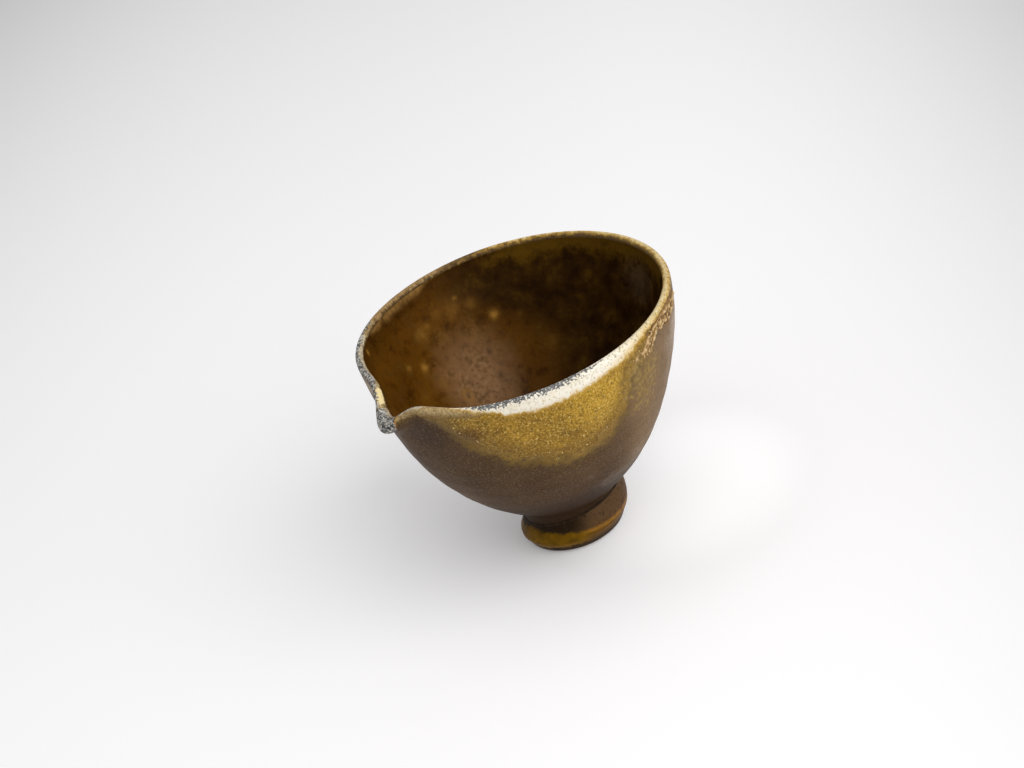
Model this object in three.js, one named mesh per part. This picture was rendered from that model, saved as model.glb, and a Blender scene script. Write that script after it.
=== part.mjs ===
// Tea pitcher: a thrown stoneware bowl with a pulled pouring lip, luted with slip onto a turned pedestal
// foot, and the coats of glass that the wood firing left on it. Millimetres, +Z up, standing on z = 0.
// Angles are in degrees, counted from the middle of the pouring lip, which points along -Y, toward +X.
import * as THREE from "three";
import { mergeVertices } from "three/addons/utils/BufferGeometryUtils.js";

// Bowl
const RIM_RADIUS = 45; // outside of the lip
const LIP_RADIUS = 1.15; // the edge is a half round of this radius
const RIM_HEIGHT = 67.8; // height of the lip's centre line above the table
const OUTER_DEPTH = 58.5; // the outer curve would close on the axis this far below the rim
const INNER_DEPTH = 51.5; // the inside does close there
const FULLNESS = 1.5; // 2 would be an ellipse; lower is more pointed
const WALL_GAIN = 1.1; // how much the wall thickens below the thin lip
const COVE_DEPTH = 52; // from here down the wall leaves the plain curve and sweeps into the foot
const COVE_SLOPE = 1.36; // of the wall there, outward to upward
const JOINT_HEIGHT = 10.6; // underside of the bowl, where the slip takes it
const BOWL_BASE_RADIUS = 14.8;

// Unevenness of a form thrown and moved by hand
const OVAL = { by: 0.6, at: 24 };
const RIM_TILT = { by: 0.37, at: -31, fade: 20 };
const RIM_WAVE = { by: 0.22, at: 83 };
const BELLY_DRIFT = { x: 0.5, y: -0.2, depth: 38, spread: 16 };

// The pulled pouring lip
const SPOUT = { reach: 3.5, reachAngle: 8, reachFade: 4, dip: 6.2, dipAngle: 9.3, dipFade: 6.4 };
const SPOUT_BEAD = { radius: 1.4, halfAngle: 6.5, fade: 5 };
const PINCHES = [
  { angle: -12, halfAngle: 28, depth: 3.6 },
  { angle: 23, halfAngle: 11, depth: 0.7 },
];
const PINCH_FADE = 18.4;

// Foot
const FOOT_HEIGHT = 10.1;
const FOOT_RING_INNER = 9.8;
const FOOT_RING_OUTER = 12.8;
const FOOT_BELLY_RADIUS = 15.8;
const FOOT_WAIST_RADIUS = 14.6;
const RECESS_HEIGHT = 5;
const RING_PLACE = { x: 0.5, y: -1.15 }; // middle of the standing ring; the foot was set on askew
const FOOT_LEAN = { x: 0.7, y: 1.7 }; // from there to the middle of the joint
const JOINT_SLOPE = { x: 0.15, y: 0.125 }; // the foot is taller at the back right

// Coats of glass
const SEAT_GAP = 0.08; // between a coat and the clay under it
const LINING_THICKNESS = 0.45;
const ASH_RUN = { from: 14, to: 121, depth: 25, thickness: 0.42, edge: 0.08 };
const CRUST = { from: 96, to: 127, thickness: 0.8, edge: 0.1 };
const FOOT_ROLL = { from: 2.4, low: 5.2, high: 9.2, at: 12, halfAngle: 48, thickness: 0.45, edge: 0.08 };

// The spout's reach moves the footprint box, whose middle is the part's origin
const AXIS = { x: -0.14, y: 1 };

// Faceting
const SEGMENTS = 68;
const SEGMENT_CROWDING = 0.55; // share by which segments close up near the spout
const OUTER_RINGS = 15;
const COVE_RINGS = 3;
const LIP_RINGS = 7;
const INNER_RINGS = 13;
const FOOT_SEGMENTS = 48;

const radians = THREE.MathUtils.degToRad;
const bell = (x) => Math.exp(-x * x);
const wave = (angle, at, count) => Math.cos(radians(count * (angle - at)));
const smooth = (x) => THREE.MathUtils.smoothstep(x, 0, 1);

// Angle of each meridian, crowded toward the spout.
const meridians = Array.from({ length: SEGMENTS }, (_, i) => {
  const turn = (2 * Math.PI * i) / SEGMENTS;
  const angle = turn - SEGMENT_CROWDING * Math.sin(turn);
  return THREE.MathUtils.radToDeg(angle > Math.PI ? angle - 2 * Math.PI : angle);
});

// Moves a point of the plain thrown form to where the potter's fingers put it.
function pulled(radius, height, angle) {
  const depth = Math.max(0, RIM_HEIGHT - height);
  const reach = SPOUT.reach * bell(angle / SPOUT.reachAngle);
  const dip = SPOUT.dip * bell(angle / SPOUT.dipAngle);
  const pinch = PINCHES.reduce((sum, p) => sum + p.depth * bell((angle - p.angle) / p.halfAngle), 0);
  const oval = 1 + (OVAL.by * wave(angle, OVAL.at, 2)) / RIM_RADIUS;
  const spared = 1 - 0.5 * bell(angle / SPOUT.reachAngle);
  const r = radius * oval + reach * bell(depth / SPOUT.reachFade) - pinch * spared * bell(depth / PINCH_FADE);
  const warp = RIM_TILT.by * wave(angle, RIM_TILT.at, 1) + RIM_WAVE.by * wave(angle, RIM_WAVE.at, 2);
  const z = height + warp * bell(depth / RIM_TILT.fade) - dip * bell(depth / SPOUT.dipFade);
  const drift = bell((depth - BELLY_DRIFT.depth) / BELLY_DRIFT.spread);
  const a = radians(angle);
  return new THREE.Vector3(
    r * Math.sin(a) + BELLY_DRIFT.x * drift,
    -r * Math.cos(a) + BELLY_DRIFT.y * drift,
    z,
  );
}

const curve = (depth, limit) => Math.sqrt(Math.max(0, 1 - Math.pow(depth / limit, FULLNESS)));

const lipRadius = (angle) => LIP_RADIUS + SPOUT_BEAD.radius * bell(angle / SPOUT_BEAD.halfAngle);

const outerPoint = (depth, angle) =>
  pulled(RIM_RADIUS * curve(depth, OUTER_DEPTH), RIM_HEIGHT - depth, angle);

function lipPoint(turn, angle) {
  const r = lipRadius(angle);
  return pulled(RIM_RADIUS - r + r * Math.cos(turn), RIM_HEIGHT + r * Math.sin(turn), angle);
}

function innerPoint(depth, angle) {
  const bead = 2 * (lipRadius(angle) - LIP_RADIUS) * bell(depth / SPOUT_BEAD.fade);
  const gain = WALL_GAIN * smooth(depth / 14);
  const full = (RIM_RADIUS - 2 * LIP_RADIUS - gain) * curve(depth, INNER_DEPTH);
  return pulled(full - bead, RIM_HEIGHT - depth, angle);
}

// Puts a point of the upright foot where the leaning foot has it. The share is 0 on the ring, 1 at the joint.
const seated = (x, y, z, share) =>
  new THREE.Vector3(
    x + RING_PLACE.x + FOOT_LEAN.x * share,
    y + RING_PLACE.y + FOOT_LEAN.y * share,
    z + (JOINT_SLOPE.x * x + JOINT_SLOPE.y * y) * share,
  );

const jointPoint = (radius, angle) =>
  seated(radius * Math.sin(radians(angle)), -radius * Math.cos(radians(angle)), JOINT_HEIGHT, 1);

// The wall sweeps from the plain curve into the foot along a quadratic curve.
function covePoint(share, angle) {
  const start = jointPoint(BOWL_BASE_RADIUS, angle);
  const end = outerPoint(COVE_DEPTH, angle);
  const bend = jointPoint(BOWL_BASE_RADIUS + 0.2, angle);
  const out = Math.hypot(end.x, end.y) - Math.hypot(bend.x, bend.y);
  bend.z = Math.max(end.z - out / COVE_SLOPE, start.z + 0.3);
  return new THREE.QuadraticBezierCurve3(start, bend, end).getPoint(share);
}

const ringOf = (pointAt) => meridians.map(pointAt);

// Outer wall, from the joint up to just below the lip.
function outerRings() {
  const rings = [];
  for (let i = 0; i < COVE_RINGS; i++) rings.push(ringOf((angle) => covePoint(i / COVE_RINGS, angle)));
  for (let i = 0; i < OUTER_RINGS; i++) {
    const share = 1 - i / OUTER_RINGS;
    rings.push(ringOf((angle) => outerPoint(COVE_DEPTH * share * (1 - 0.25 * (1 - share)), angle)));
  }
  return rings;
}

// The half round of the lip, from the outside over the top to the inside.
const lipRings = Array.from({ length: LIP_RINGS }, (_, i) =>
  ringOf((angle) => lipPoint((Math.PI * i) / (LIP_RINGS - 1), angle)),
);

// Inner wall, from under the lip down to the last ring above the floor's centre.
const innerRings = Array.from({ length: INNER_RINGS }, (_, i) => {
  const share = Math.sin((Math.PI * (i + 1)) / (2 * (INNER_RINGS + 0.35)));
  return ringOf((angle) => innerPoint(INNER_DEPTH * Math.pow(share, 1.3), angle));
});

const floorCentre = pulled(0, RIM_HEIGHT - INNER_DEPTH, 180);
const baseCentre = jointPoint(0, 0);

// Collects triangles as plain positions.
class Facets {
  positions = [];

  triangle(a, b, c) {
    for (const p of [a, b, c]) this.positions.push(p.x, p.y, p.z);
  }

  // The strip between two rings; its faces look outwards where the second ring is the higher.
  band(lower, upper, closed = true) {
    const last = closed ? lower.length : lower.length - 1;
    for (let i = 0; i < last; i++) {
      const j = (i + 1) % lower.length;
      this.triangle(lower[i], lower[j], upper[j]);
      this.triangle(lower[i], upper[j], upper[i]);
    }
  }

  // The same triangles seen from the other side, for a coat lying on that strip.
  backOfBand(lower, upper, closed = true) {
    const last = closed ? lower.length : lower.length - 1;
    for (let i = 0; i < last; i++) {
      const j = (i + 1) % lower.length;
      this.triangle(upper[j], lower[j], lower[i]);
      this.triangle(upper[i], upper[j], lower[i]);
    }
  }

  // Closes a ring over a point above it, or under a point below it.
  lid(ring, point, above) {
    ring.forEach((p, i) => {
      const q = ring[(i + 1) % ring.length];
      if (above) this.triangle(p, q, point);
      else this.triangle(q, p, point);
    });
  }

  geometry() {
    const loose = new THREE.BufferGeometry();
    loose.setAttribute("position", new THREE.Float32BufferAttribute(this.positions, 3));
    const merged = mergeVertices(loose, 1e-4);
    merged.computeVertexNormals();
    return merged;
  }
}

// Moves each point of a grid of rings along the surface's normal.
function raised(rings, closed, thicknessAt) {
  return rings.map((ring, row) =>
    ring.map((p, column) => {
      const n = ring.length;
      const after = closed ? (column + 1) % n : Math.min(column + 1, n - 1);
      const before = closed ? (column + n - 1) % n : Math.max(column - 1, 0);
      const above = rings[Math.min(row + 1, rings.length - 1)][column];
      const below = rings[Math.max(row - 1, 0)][column];
      const normal = ring[after].clone().sub(ring[before]).cross(above.clone().sub(below)).normalize();
      return p.clone().addScaledVector(normal, thicknessAt(row, column));
    }),
  );
}

// A patch between two open grids, front and back, closed all round its edge.
function patchGeometry(front, back) {
  const facets = new Facets();
  const top = front.length - 1;
  for (let i = 0; i < top; i++) {
    facets.band(front[i], front[i + 1], false);
    facets.backOfBand(back[i], back[i + 1], false);
  }
  facets.band(back[0], front[0], false);
  facets.band(front[top], back[top], false);
  const side = (grid, column) => grid.map((row) => row[column]);
  const end = front[0].length - 1;
  facets.band(side(front, 0), side(back, 0), false);
  facets.band(side(back, end), side(front, end), false);
  return facets.geometry();
}

function bowlGeometry() {
  const facets = new Facets();
  const rings = [...outerRings(), ...lipRings, ...innerRings];
  facets.lid(rings[0], baseCentre, false);
  for (let i = 0; i + 1 < rings.length; i++) facets.band(rings[i], rings[i + 1]);
  facets.lid(rings[rings.length - 1], floorCentre, true);
  return facets.geometry();
}

// The glass that lines the inside: it lies on the clay and thins out just below the lip.
function liningGeometry() {
  const seat = innerRings;
  const free = raised(seat, true, (row) => LINING_THICKNESS * smooth(row / 2));
  free[0] = seat[0];
  const facets = new Facets();
  for (let i = 0; i + 1 < seat.length; i++) {
    facets.backOfBand(seat[i], seat[i + 1]);
    facets.band(free[i], free[i + 1]);
  }
  const top = floorCentre.clone();
  top.z += LINING_THICKNESS;
  facets.lid(seat[seat.length - 1], floorCentre, false);
  facets.lid(free[free.length - 1], top, true);
  return facets.geometry();
}

// How far below the lip the sheet of ash glaze hangs at each angle.
function hemDepth(angle) {
  const left = 1 - Math.pow(THREE.MathUtils.clamp((66 - angle) / 52, 0, 1), 1.5);
  const right = 1 - smooth((angle - 94) / 29);
  return ASH_RUN.depth * left * right;
}

const runThickness = (depth, angle) =>
  ASH_RUN.edge +
  (ASH_RUN.thickness - ASH_RUN.edge) *
    smooth((hemDepth(angle) - depth) / 6) *
    smooth((depth - 0.4) / 2) *
    smooth((angle - ASH_RUN.from) / 10) *
    smooth((ASH_RUN.to - angle) / 10);

// Rows of points on the outer wall between two depths that depend on the angle.
function wallPatch(from, to, columns, rows, lowest, highest) {
  const spots = [];
  for (let i = 0; i < rows; i++) {
    const row = [];
    for (let j = 0; j < columns; j++) {
      const angle = from + ((to - from) * j) / (columns - 1);
      const share = i / (rows - 1);
      row.push({ angle, depth: lowest(angle) + (highest(angle) - lowest(angle)) * share });
    }
    spots.push(row);
  }
  return spots;
}

const onWall = (spots) => spots.map((row) => row.map(({ depth, angle }) => outerPoint(depth, angle)));

function ashRunGeometry() {
  const { from, to } = ASH_RUN;
  const spots = wallPatch(from, to, 37, 10, (angle) => Math.max(1.4, hemDepth(angle)), () => 0.4);
  const wall = onWall(spots);
  const back = raised(wall, false, () => SEAT_GAP);
  const front = raised(wall, false, (i, j) => SEAT_GAP + runThickness(spots[i][j].depth, spots[i][j].angle));
  return patchGeometry(front, back);
}

// A ridge of half melted ash that stuck to the sheet just below the lip and sags toward the spout.
function crustGeometry() {
  const { from, to } = CRUST;
  const middle = (angle) => 3.9 - 2.2 * smooth((angle - from) / (to - from));
  const half = (angle) => 1.9 * Math.sqrt(Math.max(0.05, 1 - ((2 * (angle - from)) / (to - from) - 1) ** 2));
  const lowest = (angle) => middle(angle) + half(angle);
  const highest = (angle) => Math.max(0.1, middle(angle) - half(angle));
  const spots = wallPatch(from, to, 19, 7, lowest, highest);
  const wall = onWall(spots);
  const seat = (i, j) => 2 * SEAT_GAP + runThickness(spots[i][j].depth, spots[i][j].angle);
  const fold = (i, j) => 0.75 + 0.25 * Math.cos(2.4 * j + 0.9 * i);
  const mound = (i, j) => Math.sin((Math.PI * i) / 6) * Math.sin((Math.PI * j) / 18) ** 0.5;
  const back = raised(wall, false, seat);
  const front = raised(wall, false, (i, j) => seat(i, j) + CRUST.edge + CRUST.thickness * mound(i, j) * fold(i, j));
  return patchGeometry(front, back);
}

// Outside of the foot from the standing ring up to the joint, as radius and height.
function footSide() {
  const path = new THREE.Path();
  path.moveTo(FOOT_RING_OUTER, 0);
  path.quadraticCurveTo(FOOT_RING_OUTER + 1.3, 0.4, FOOT_RING_OUTER + 2, 2.2);
  path.quadraticCurveTo(FOOT_BELLY_RADIUS - 0.1, 3.7, FOOT_BELLY_RADIUS, 5.2);
  path.quadraticCurveTo(FOOT_BELLY_RADIUS + 0.1, 6.6, FOOT_WAIST_RADIUS + 0.8, 7.9);
  path.quadraticCurveTo(FOOT_WAIST_RADIUS + 0.2, 9, FOOT_WAIST_RADIUS, FOOT_HEIGHT);
  return path.getPoints(5);
}

// Leans the foot; the recess is level with the ring, and above the foot's top all moves alike.
function leaned(geometry) {
  const p = geometry.getAttribute("position");
  for (let i = 0; i < p.count; i++) {
    const [x, y, z] = [p.getX(i), p.getY(i), p.getZ(i)];
    const carved = z < RECESS_HEIGHT + 0.01 && Math.hypot(x, y) < FOOT_RING_INNER + 0.01;
    const moved = seated(x, y, z, carved ? 0 : Math.min(1, z / FOOT_HEIGHT));
    p.setXYZ(i, moved.x, moved.y, moved.z);
  }
  return geometry;
}

function lathe(points) {
  const turned = new THREE.LatheGeometry(points, FOOT_SEGMENTS).rotateX(Math.PI / 2);
  turned.deleteAttribute("normal");
  turned.deleteAttribute("uv");
  const merged = leaned(mergeVertices(turned, 1e-4));
  merged.computeVertexNormals();
  return merged;
}

// Turned foot with a carved recess underneath and a flat standing ring.
function footGeometry() {
  const path = new THREE.Path();
  path.moveTo(0, RECESS_HEIGHT);
  path.lineTo(FOOT_RING_INNER - 2.4, RECESS_HEIGHT - 0.3);
  path.quadraticCurveTo(FOOT_RING_INNER - 0.7, RECESS_HEIGHT - 0.7, FOOT_RING_INNER - 0.5, 3.4);
  path.lineTo(FOOT_RING_INNER, 0);
  return lathe([...path.getPoints(4), ...footSide(), new THREE.Vector2(0, FOOT_HEIGHT)]);
}

// The slip squeezed out of the joint leaves a small bead in the crease.
function slipGeometry() {
  const path = new THREE.Path();
  path.moveTo(0, FOOT_HEIGHT);
  path.lineTo(FOOT_WAIST_RADIUS, FOOT_HEIGHT);
  path.quadraticCurveTo(FOOT_WAIST_RADIUS + 0.45, FOOT_HEIGHT + 0.2, BOWL_BASE_RADIUS, JOINT_HEIGHT);
  path.lineTo(0, JOINT_HEIGHT);
  return lathe(path.getPoints(4));
}

// Glass that gathered round the foot: deep under the spout and on the near side, a thin line elsewhere.
function rollTop(angle) {
  const turn = angle > 180 ? angle - 360 : angle;
  return FOOT_ROLL.low + (FOOT_ROLL.high - FOOT_ROLL.low) * bell((turn - FOOT_ROLL.at) / FOOT_ROLL.halfAngle);
}

function footRollGeometry() {
  const side = footSide();
  const rows = 8;
  const radiusAt = (z) => {
    const k = side.findIndex((p, i) => i > 0 && p.y >= z);
    const [a, b] = [side[k - 1], side[k]];
    return a.x + ((b.x - a.x) * (z - a.y)) / (b.y - a.y);
  };
  const rings = Array.from({ length: rows }, (_, i) =>
    Array.from({ length: FOOT_SEGMENTS }, (_, j) => {
      const turn = (2 * Math.PI * j) / FOOT_SEGMENTS;
      const top = rollTop(THREE.MathUtils.radToDeg(turn));
      const z = FOOT_ROLL.from + ((top - FOOT_ROLL.from) * i) / (rows - 1);
      const r = radiusAt(z) + 0.06;
      return new THREE.Vector3(r * Math.sin(turn), -r * Math.cos(turn), z);
    }),
  );
  const swell = (i) => FOOT_ROLL.edge + FOOT_ROLL.thickness * Math.sin((Math.PI * i) / (rows - 1));
  const back = raised(rings, true, () => SEAT_GAP);
  const front = raised(rings, true, (i) => SEAT_GAP + swell(i));
  const facets = new Facets();
  for (let i = 0; i + 1 < rows; i++) {
    facets.band(front[i], front[i + 1]);
    facets.backOfBand(back[i], back[i + 1]);
  }
  facets.band(back[0], front[0]);
  facets.band(front[rows - 1], back[rows - 1]);
  return leaned(facets.geometry());
}

const finish = (color, roughness) => new THREE.MeshStandardMaterial({ color, roughness, metalness: 0 });

const pitcher = new THREE.Group();
pitcher.position.set(AXIS.x, AXIS.y, 0);

function add(name, geometry, material) {
  const mesh = new THREE.Mesh(geometry, material);
  mesh.name = name;
  pitcher.add(mesh);
}

add("bowl", bowlGeometry(), finish(0x5a4636, 0.5));
add("pedestal_foot", footGeometry(), finish(0x523d2c, 0.55));
add("joining_slip", slipGeometry(), finish(0x3a2b1f, 0.7));
add("lining_glaze", liningGeometry(), finish(0x4a2c0c, 0.25));
add("ash_glaze_run", ashRunGeometry(), finish(0x9a7a2c, 0.35));
add("ash_crust", crustGeometry(), finish(0xb59a66, 0.65));
add("foot_glaze_roll", footRollGeometry(), finish(0x8f6e26, 0.35));

export default pitcher;
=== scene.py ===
# %% [markdown]
# # A wood-fired tea pitcher
#
# The pot is a small thrown bowl with a pulled pouring lip on a turned foot. It came out of a wood kiln, so
# most of its looks are ash that landed on the clay and melted there. The solids are loaded first and stay
# fixed. Each one is then replaced by a finer skin of the same shape, so the pot keeps its real size.

# %% Load the solids
import itertools

import bpy
import numpy as np
from mathutils import Matrix, Vector


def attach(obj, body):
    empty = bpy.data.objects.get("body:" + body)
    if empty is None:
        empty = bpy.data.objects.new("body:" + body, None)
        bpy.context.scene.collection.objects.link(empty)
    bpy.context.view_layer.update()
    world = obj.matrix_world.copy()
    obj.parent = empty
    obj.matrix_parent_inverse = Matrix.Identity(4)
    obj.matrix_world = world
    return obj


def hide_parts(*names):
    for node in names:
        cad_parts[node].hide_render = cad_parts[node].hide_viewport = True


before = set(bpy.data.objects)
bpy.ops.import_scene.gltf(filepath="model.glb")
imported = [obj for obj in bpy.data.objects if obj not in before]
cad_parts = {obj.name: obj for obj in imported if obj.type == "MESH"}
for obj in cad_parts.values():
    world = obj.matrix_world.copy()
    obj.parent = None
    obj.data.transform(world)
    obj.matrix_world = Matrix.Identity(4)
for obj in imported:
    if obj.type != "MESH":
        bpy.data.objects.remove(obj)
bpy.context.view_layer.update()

# %% [markdown]
# ## The camera
#
# The camera stands a little more than half a metre away, on the side of the pot that has the sheet of ash
# glaze, and looks down by about 29 degrees. It is rolled, so the pot seems to lean toward its lip. A camera
# could also be aimed with a Track To constraint, but that can't roll it. Its matrix can: the columns are
# its right, its up and its backward direction, and then its place.

# %% Place the camera
MM = 0.001
AXIS = np.array([-0.14, 1.0, 0.0])  # the middle of the turned form in the shared frame, in millimetres
VIEW_RIGHT = (0.61168, 0.73672, -0.28818)
VIEW_UP = (-0.23421, 0.51659, 0.82357)
VIEW_BACK = (0.75561, -0.43627, 0.48856)
VIEW_FROM = np.array([409.15, -241.96, 314.88])
SENSOR_MM, LENS_MM = 36.0, 70.3125


def add_camera():
    lens = bpy.data.cameras.new("camera")
    lens.sensor_width = SENSOR_MM
    lens.lens = LENS_MM
    camera = bpy.data.objects.new("camera", lens)
    bpy.context.scene.collection.objects.link(camera)
    place = (VIEW_FROM + AXIS) * MM
    rows = [list(row) for row in zip(VIEW_RIGHT, VIEW_UP, VIEW_BACK, place)]
    camera.matrix_world = Matrix([*rows, [0, 0, 0, 1]])
    bpy.context.scene.camera = camera
    print("camera at", [round(float(v), 3) for v in place])


add_camera()

# %% [markdown]
# ## Light
#
# The pot stands in soft white light. Most of it comes from a large window at the right, a little behind the
# pot, so the shadow falls to the left and the right wall of the inside stays dark. A second soft lamp hangs
# straight above and makes the floor under the belly dark. Round area lamps are used, because a glaze
# mirrors the shape of its lamp, and a point lamp would leave a hard spark.

# %% Light the pot
ROOM_STRENGTH = 0.46
LIT_POINT = (0, 0, 0.03)
LAMPS = [  # name, place in metres, diameter, watts
    ("window_right", (0.93, 0.23, 0.8), 1.4, 10),
    ("sky_above", (0.05, -0.05, 1.3), 1.1, 2.4),
]


def aim(lamp, target):
    direction = np.array(target) - np.array(lamp.location)
    lamp.rotation_euler = Vector(direction).to_track_quat("-Z", "Y").to_euler()


def add_soft_lamp(name, place, size, power):
    data = bpy.data.lights.new(name, "AREA")
    data.shape = "DISK"
    data.size = size
    data.energy = power
    lamp = bpy.data.objects.new(name, data)
    lamp.location = place
    bpy.context.scene.collection.objects.link(lamp)
    aim(lamp, LIT_POINT)
    print(name, "at", place, "with", power, "W")


def light_the_room():
    world = bpy.data.worlds.new("room")
    world.use_nodes = True
    sky = world.node_tree.nodes["Background"].inputs
    sky["Color"].default_value = (1, 1, 1, 1)
    sky["Strength"].default_value = ROOM_STRENGTH
    bpy.context.scene.world = world
    for lamp in LAMPS:
        add_soft_lamp(*lamp)
    bpy.context.scene.view_settings.view_transform = "Standard"


light_the_room()

# %% [markdown]
# ## The potter's form
#
# All pieces of the pot follow one set of functions, so a coat of glass lies exactly on its wall. The form
# could be modelled by hand with Proportional Editing. Here it is computed, so that each measure has a name
# and a value. These are the measures, in millimetres and degrees. Angles run round the pot from the spout,
# and positive ones are on the side of the ash sheet. Names that end in FADE are depths over which a change
# dies out.

# %% Name the measures
RIM_HEIGHT, RIM_RADIUS, LIP_RADIUS = 67.8, 45.0, 1.15
LIP_LENGTH = np.pi * LIP_RADIUS
RIM_MM_PER_DEGREE = np.pi * RIM_RADIUS / 180
OUTER_DEPTH, INNER_DEPTH, FULLNESS, WALL_GAIN, WALL_GAIN_FADE = 58.5, 51.5, 1.5, 1.1, 14
BEAD_RADIUS, BEAD_HALF_ANGLE, BEAD_FADE = 1.4, 6.5, 5  # the lip is thicker at the spout's tip
OVAL_BY, OVAL_AT = 0.6, 24
RIM_TILT_BY, RIM_TILT_AT, RIM_FADE = 0.37, -31, 20
RIM_WAVE_BY, RIM_WAVE_AT = 0.22, 83
DRIFT_X, DRIFT_Y, DRIFT_DEPTH, DRIFT_SPREAD = 0.5, -0.2, 38, 16  # the belly leans out a little
REACH, REACH_ANGLE, REACH_FADE = 3.5, 8, 4  # how far the spout's tip stands out
DIP, DIP_ANGLE, DIP_FADE = 6.2, 9.3, 6.4  # and how far it hangs down
PINCHES = [(-12, 28, 3.6), (23, 11, 0.7)]  # angle, half width and depth of the two fingers' marks
PINCH_FADE = 18.4
JOINT_HEIGHT, BOWL_BASE_RADIUS = 10.6, 14.8
COVE_DEPTH, COVE_SLOPE, COVE_ROWS = 52.0, 1.36, 16
RING_X, RING_Y = 0.5, -1.15  # the standing ring's middle
LEAN_X, LEAN_Y = 0.7, 1.7
SLOPE_X, SLOPE_Y = 0.15, 0.125  # the foot's slanted top
COARSE_LUMPS, FINE_LUMPS, THROWING_RINGS = (0.2, 24), (0.06, 8), 0.035

print("mouth", 2 * RIM_RADIUS, "mm, wall at the lip", 2 * LIP_RADIUS, "mm")

# %% [markdown]
# ## The turned profile
#
# A wheel makes a curve that is the same all round. Its radius follows the root of one minus a power of the
# depth, which gives the full belly that narrows quickly to the foot, and the lip is a half round. A Bezier
# curve with a Screw modifier could make it too, but a formula can be asked for any point, such as a speck's
# place.

# %% Follow the profile


def bell(x):
    return np.exp(-np.square(x))


def smooth(x):
    t = np.clip(x, 0, 1)
    return t * t * (3 - 2 * t)


def swing(angle, at, count):
    return np.cos(np.radians(count * (angle - at)))


def fullness(depth, limit):
    return np.sqrt(np.maximum(0, 1 - (depth / limit) ** FULLNESS))


def profile(angle, arc):
    """Radius and height at a length of arc: positive down the outside, negative over the lip and inside."""
    bead = BEAD_RADIUS * bell(angle / BEAD_HALF_ANGLE)
    lip = LIP_RADIUS + bead
    over = np.clip(-arc, 0, LIP_LENGTH) / LIP_RADIUS
    out, down = np.maximum(arc, 0), np.maximum(-arc - LIP_LENGTH, 0)
    mouth = RIM_RADIUS - 2 * LIP_RADIUS - WALL_GAIN * smooth(down / WALL_GAIN_FADE)
    inside = mouth * fullness(down, INNER_DEPTH) - 2 * bead * bell(down / BEAD_FADE)
    radius = np.where(arc > 0, RIM_RADIUS * fullness(out, OUTER_DEPTH), RIM_RADIUS - lip + lip * np.cos(over))
    radius = np.where(down > 0, inside, radius)
    height = RIM_HEIGHT - out - down + np.where(down > 0, 0, lip * np.sin(over))
    return radius, height


print("radius half way down:", round(float(profile(0, OUTER_DEPTH / 2)[0]), 1), "mm")

# %% [markdown]
# ## The pulled spout
#
# Two fingers pinched the soft rim and a third pulled the clay between them outward and down. So every point
# near the lip is moved by bell curves of its angle from the spout, and the whole rim is a little oval and
# uneven, as it is on a pot that was handled wet.

# %% Pull the spout


def pulled(radius, height, angle):
    """Move points of the plain turned form to where the fingers put them."""
    depth = np.maximum(0, RIM_HEIGHT - height)
    reach = REACH * bell(angle / REACH_ANGLE)
    dip = DIP * bell(angle / DIP_ANGLE)
    pinch = sum(by * bell((angle - middle) / half) for middle, half, by in PINCHES)
    spared = 1 - 0.5 * bell(angle / REACH_ANGLE)
    oval = 1 + OVAL_BY * swing(angle, OVAL_AT, 2) / RIM_RADIUS
    r = radius * oval + reach * bell(depth / REACH_FADE) - pinch * spared * bell(depth / PINCH_FADE)
    warp = RIM_TILT_BY * swing(angle, RIM_TILT_AT, 1) + RIM_WAVE_BY * swing(angle, RIM_WAVE_AT, 2)
    z = height + warp * bell(depth / RIM_FADE) - dip * bell(depth / DIP_FADE)
    drift = bell((depth - DRIFT_DEPTH) / DRIFT_SPREAD)
    turn = np.radians(angle)
    return np.stack([r * np.sin(turn) + DRIFT_X * drift, -r * np.cos(turn) + DRIFT_Y * drift, z], axis=-1)


tip = pulled(RIM_RADIUS, RIM_HEIGHT, 0.0)
print("the spout's tip is at", [round(float(v), 1) for v in tip], "mm")

# %% [markdown]
# ## The seat on the foot
#
# The foot leans and its top is cut at a slant, so the bowl's lowest rows can't be round and level. They
# sweep from the slanted joint into the wall in a small cove, which a potter makes with a wet finger. Each
# column of the cove is a curve with three control points: the joint, a bend beside it, and the wall.

# %% Seat the bowl


def seated(points, share):
    """Move points of an upright foot as the foot leans: share 0 on the ring, 1 at the joint."""
    x, y, z = points[..., 0], points[..., 1], points[..., 2]
    rise = (SLOPE_X * x + SLOPE_Y * y) * share
    moved = [x + RING_X + LEAN_X * share, y + RING_Y + LEAN_Y * share, z + rise]
    return np.stack(moved, axis=-1)


def joint_points(radius, angle):
    turn = np.radians(angle)
    level = np.full(np.shape(turn), JOINT_HEIGHT)
    return seated(np.stack([radius * np.sin(turn), -radius * np.cos(turn), level], axis=-1), 1.0)


def cove(base, angle):
    """Rows of points that sweep from the joint into the given lowest row of the wall."""
    start, bend = joint_points(BOWL_BASE_RADIUS, angle), joint_points(BOWL_BASE_RADIUS + 0.2, angle)
    out = np.hypot(base[:, 0], base[:, 1]) - np.hypot(bend[:, 0], bend[:, 1])
    bend[:, 2] = np.maximum(base[:, 2] - out / COVE_SLOPE, start[:, 2] + 0.3)
    t = (np.arange(COVE_ROWS) / COVE_ROWS)[:, None, None]
    return start * (1 - t) ** 2 + bend * (2 * t * (1 - t)) + base * t ** 2


print("joint:", 2 * BOWL_BASE_RADIUS, "mm wide, middle at", joint_points(0, 0.0).round(1), "mm")

# %% [markdown]
# ## The hand's unevenness
#
# A thrown wall is never exact: it has slow swells, small lumps and faint rings from the fingers. A Displace
# modifier could add them, but the glaze has to follow them too, so they are part of the same wall function.
# The lumps are noise made in Python: random heights on a grid of cells, blended smoothly between the
# corners.

# %% Make it uneven


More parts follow.
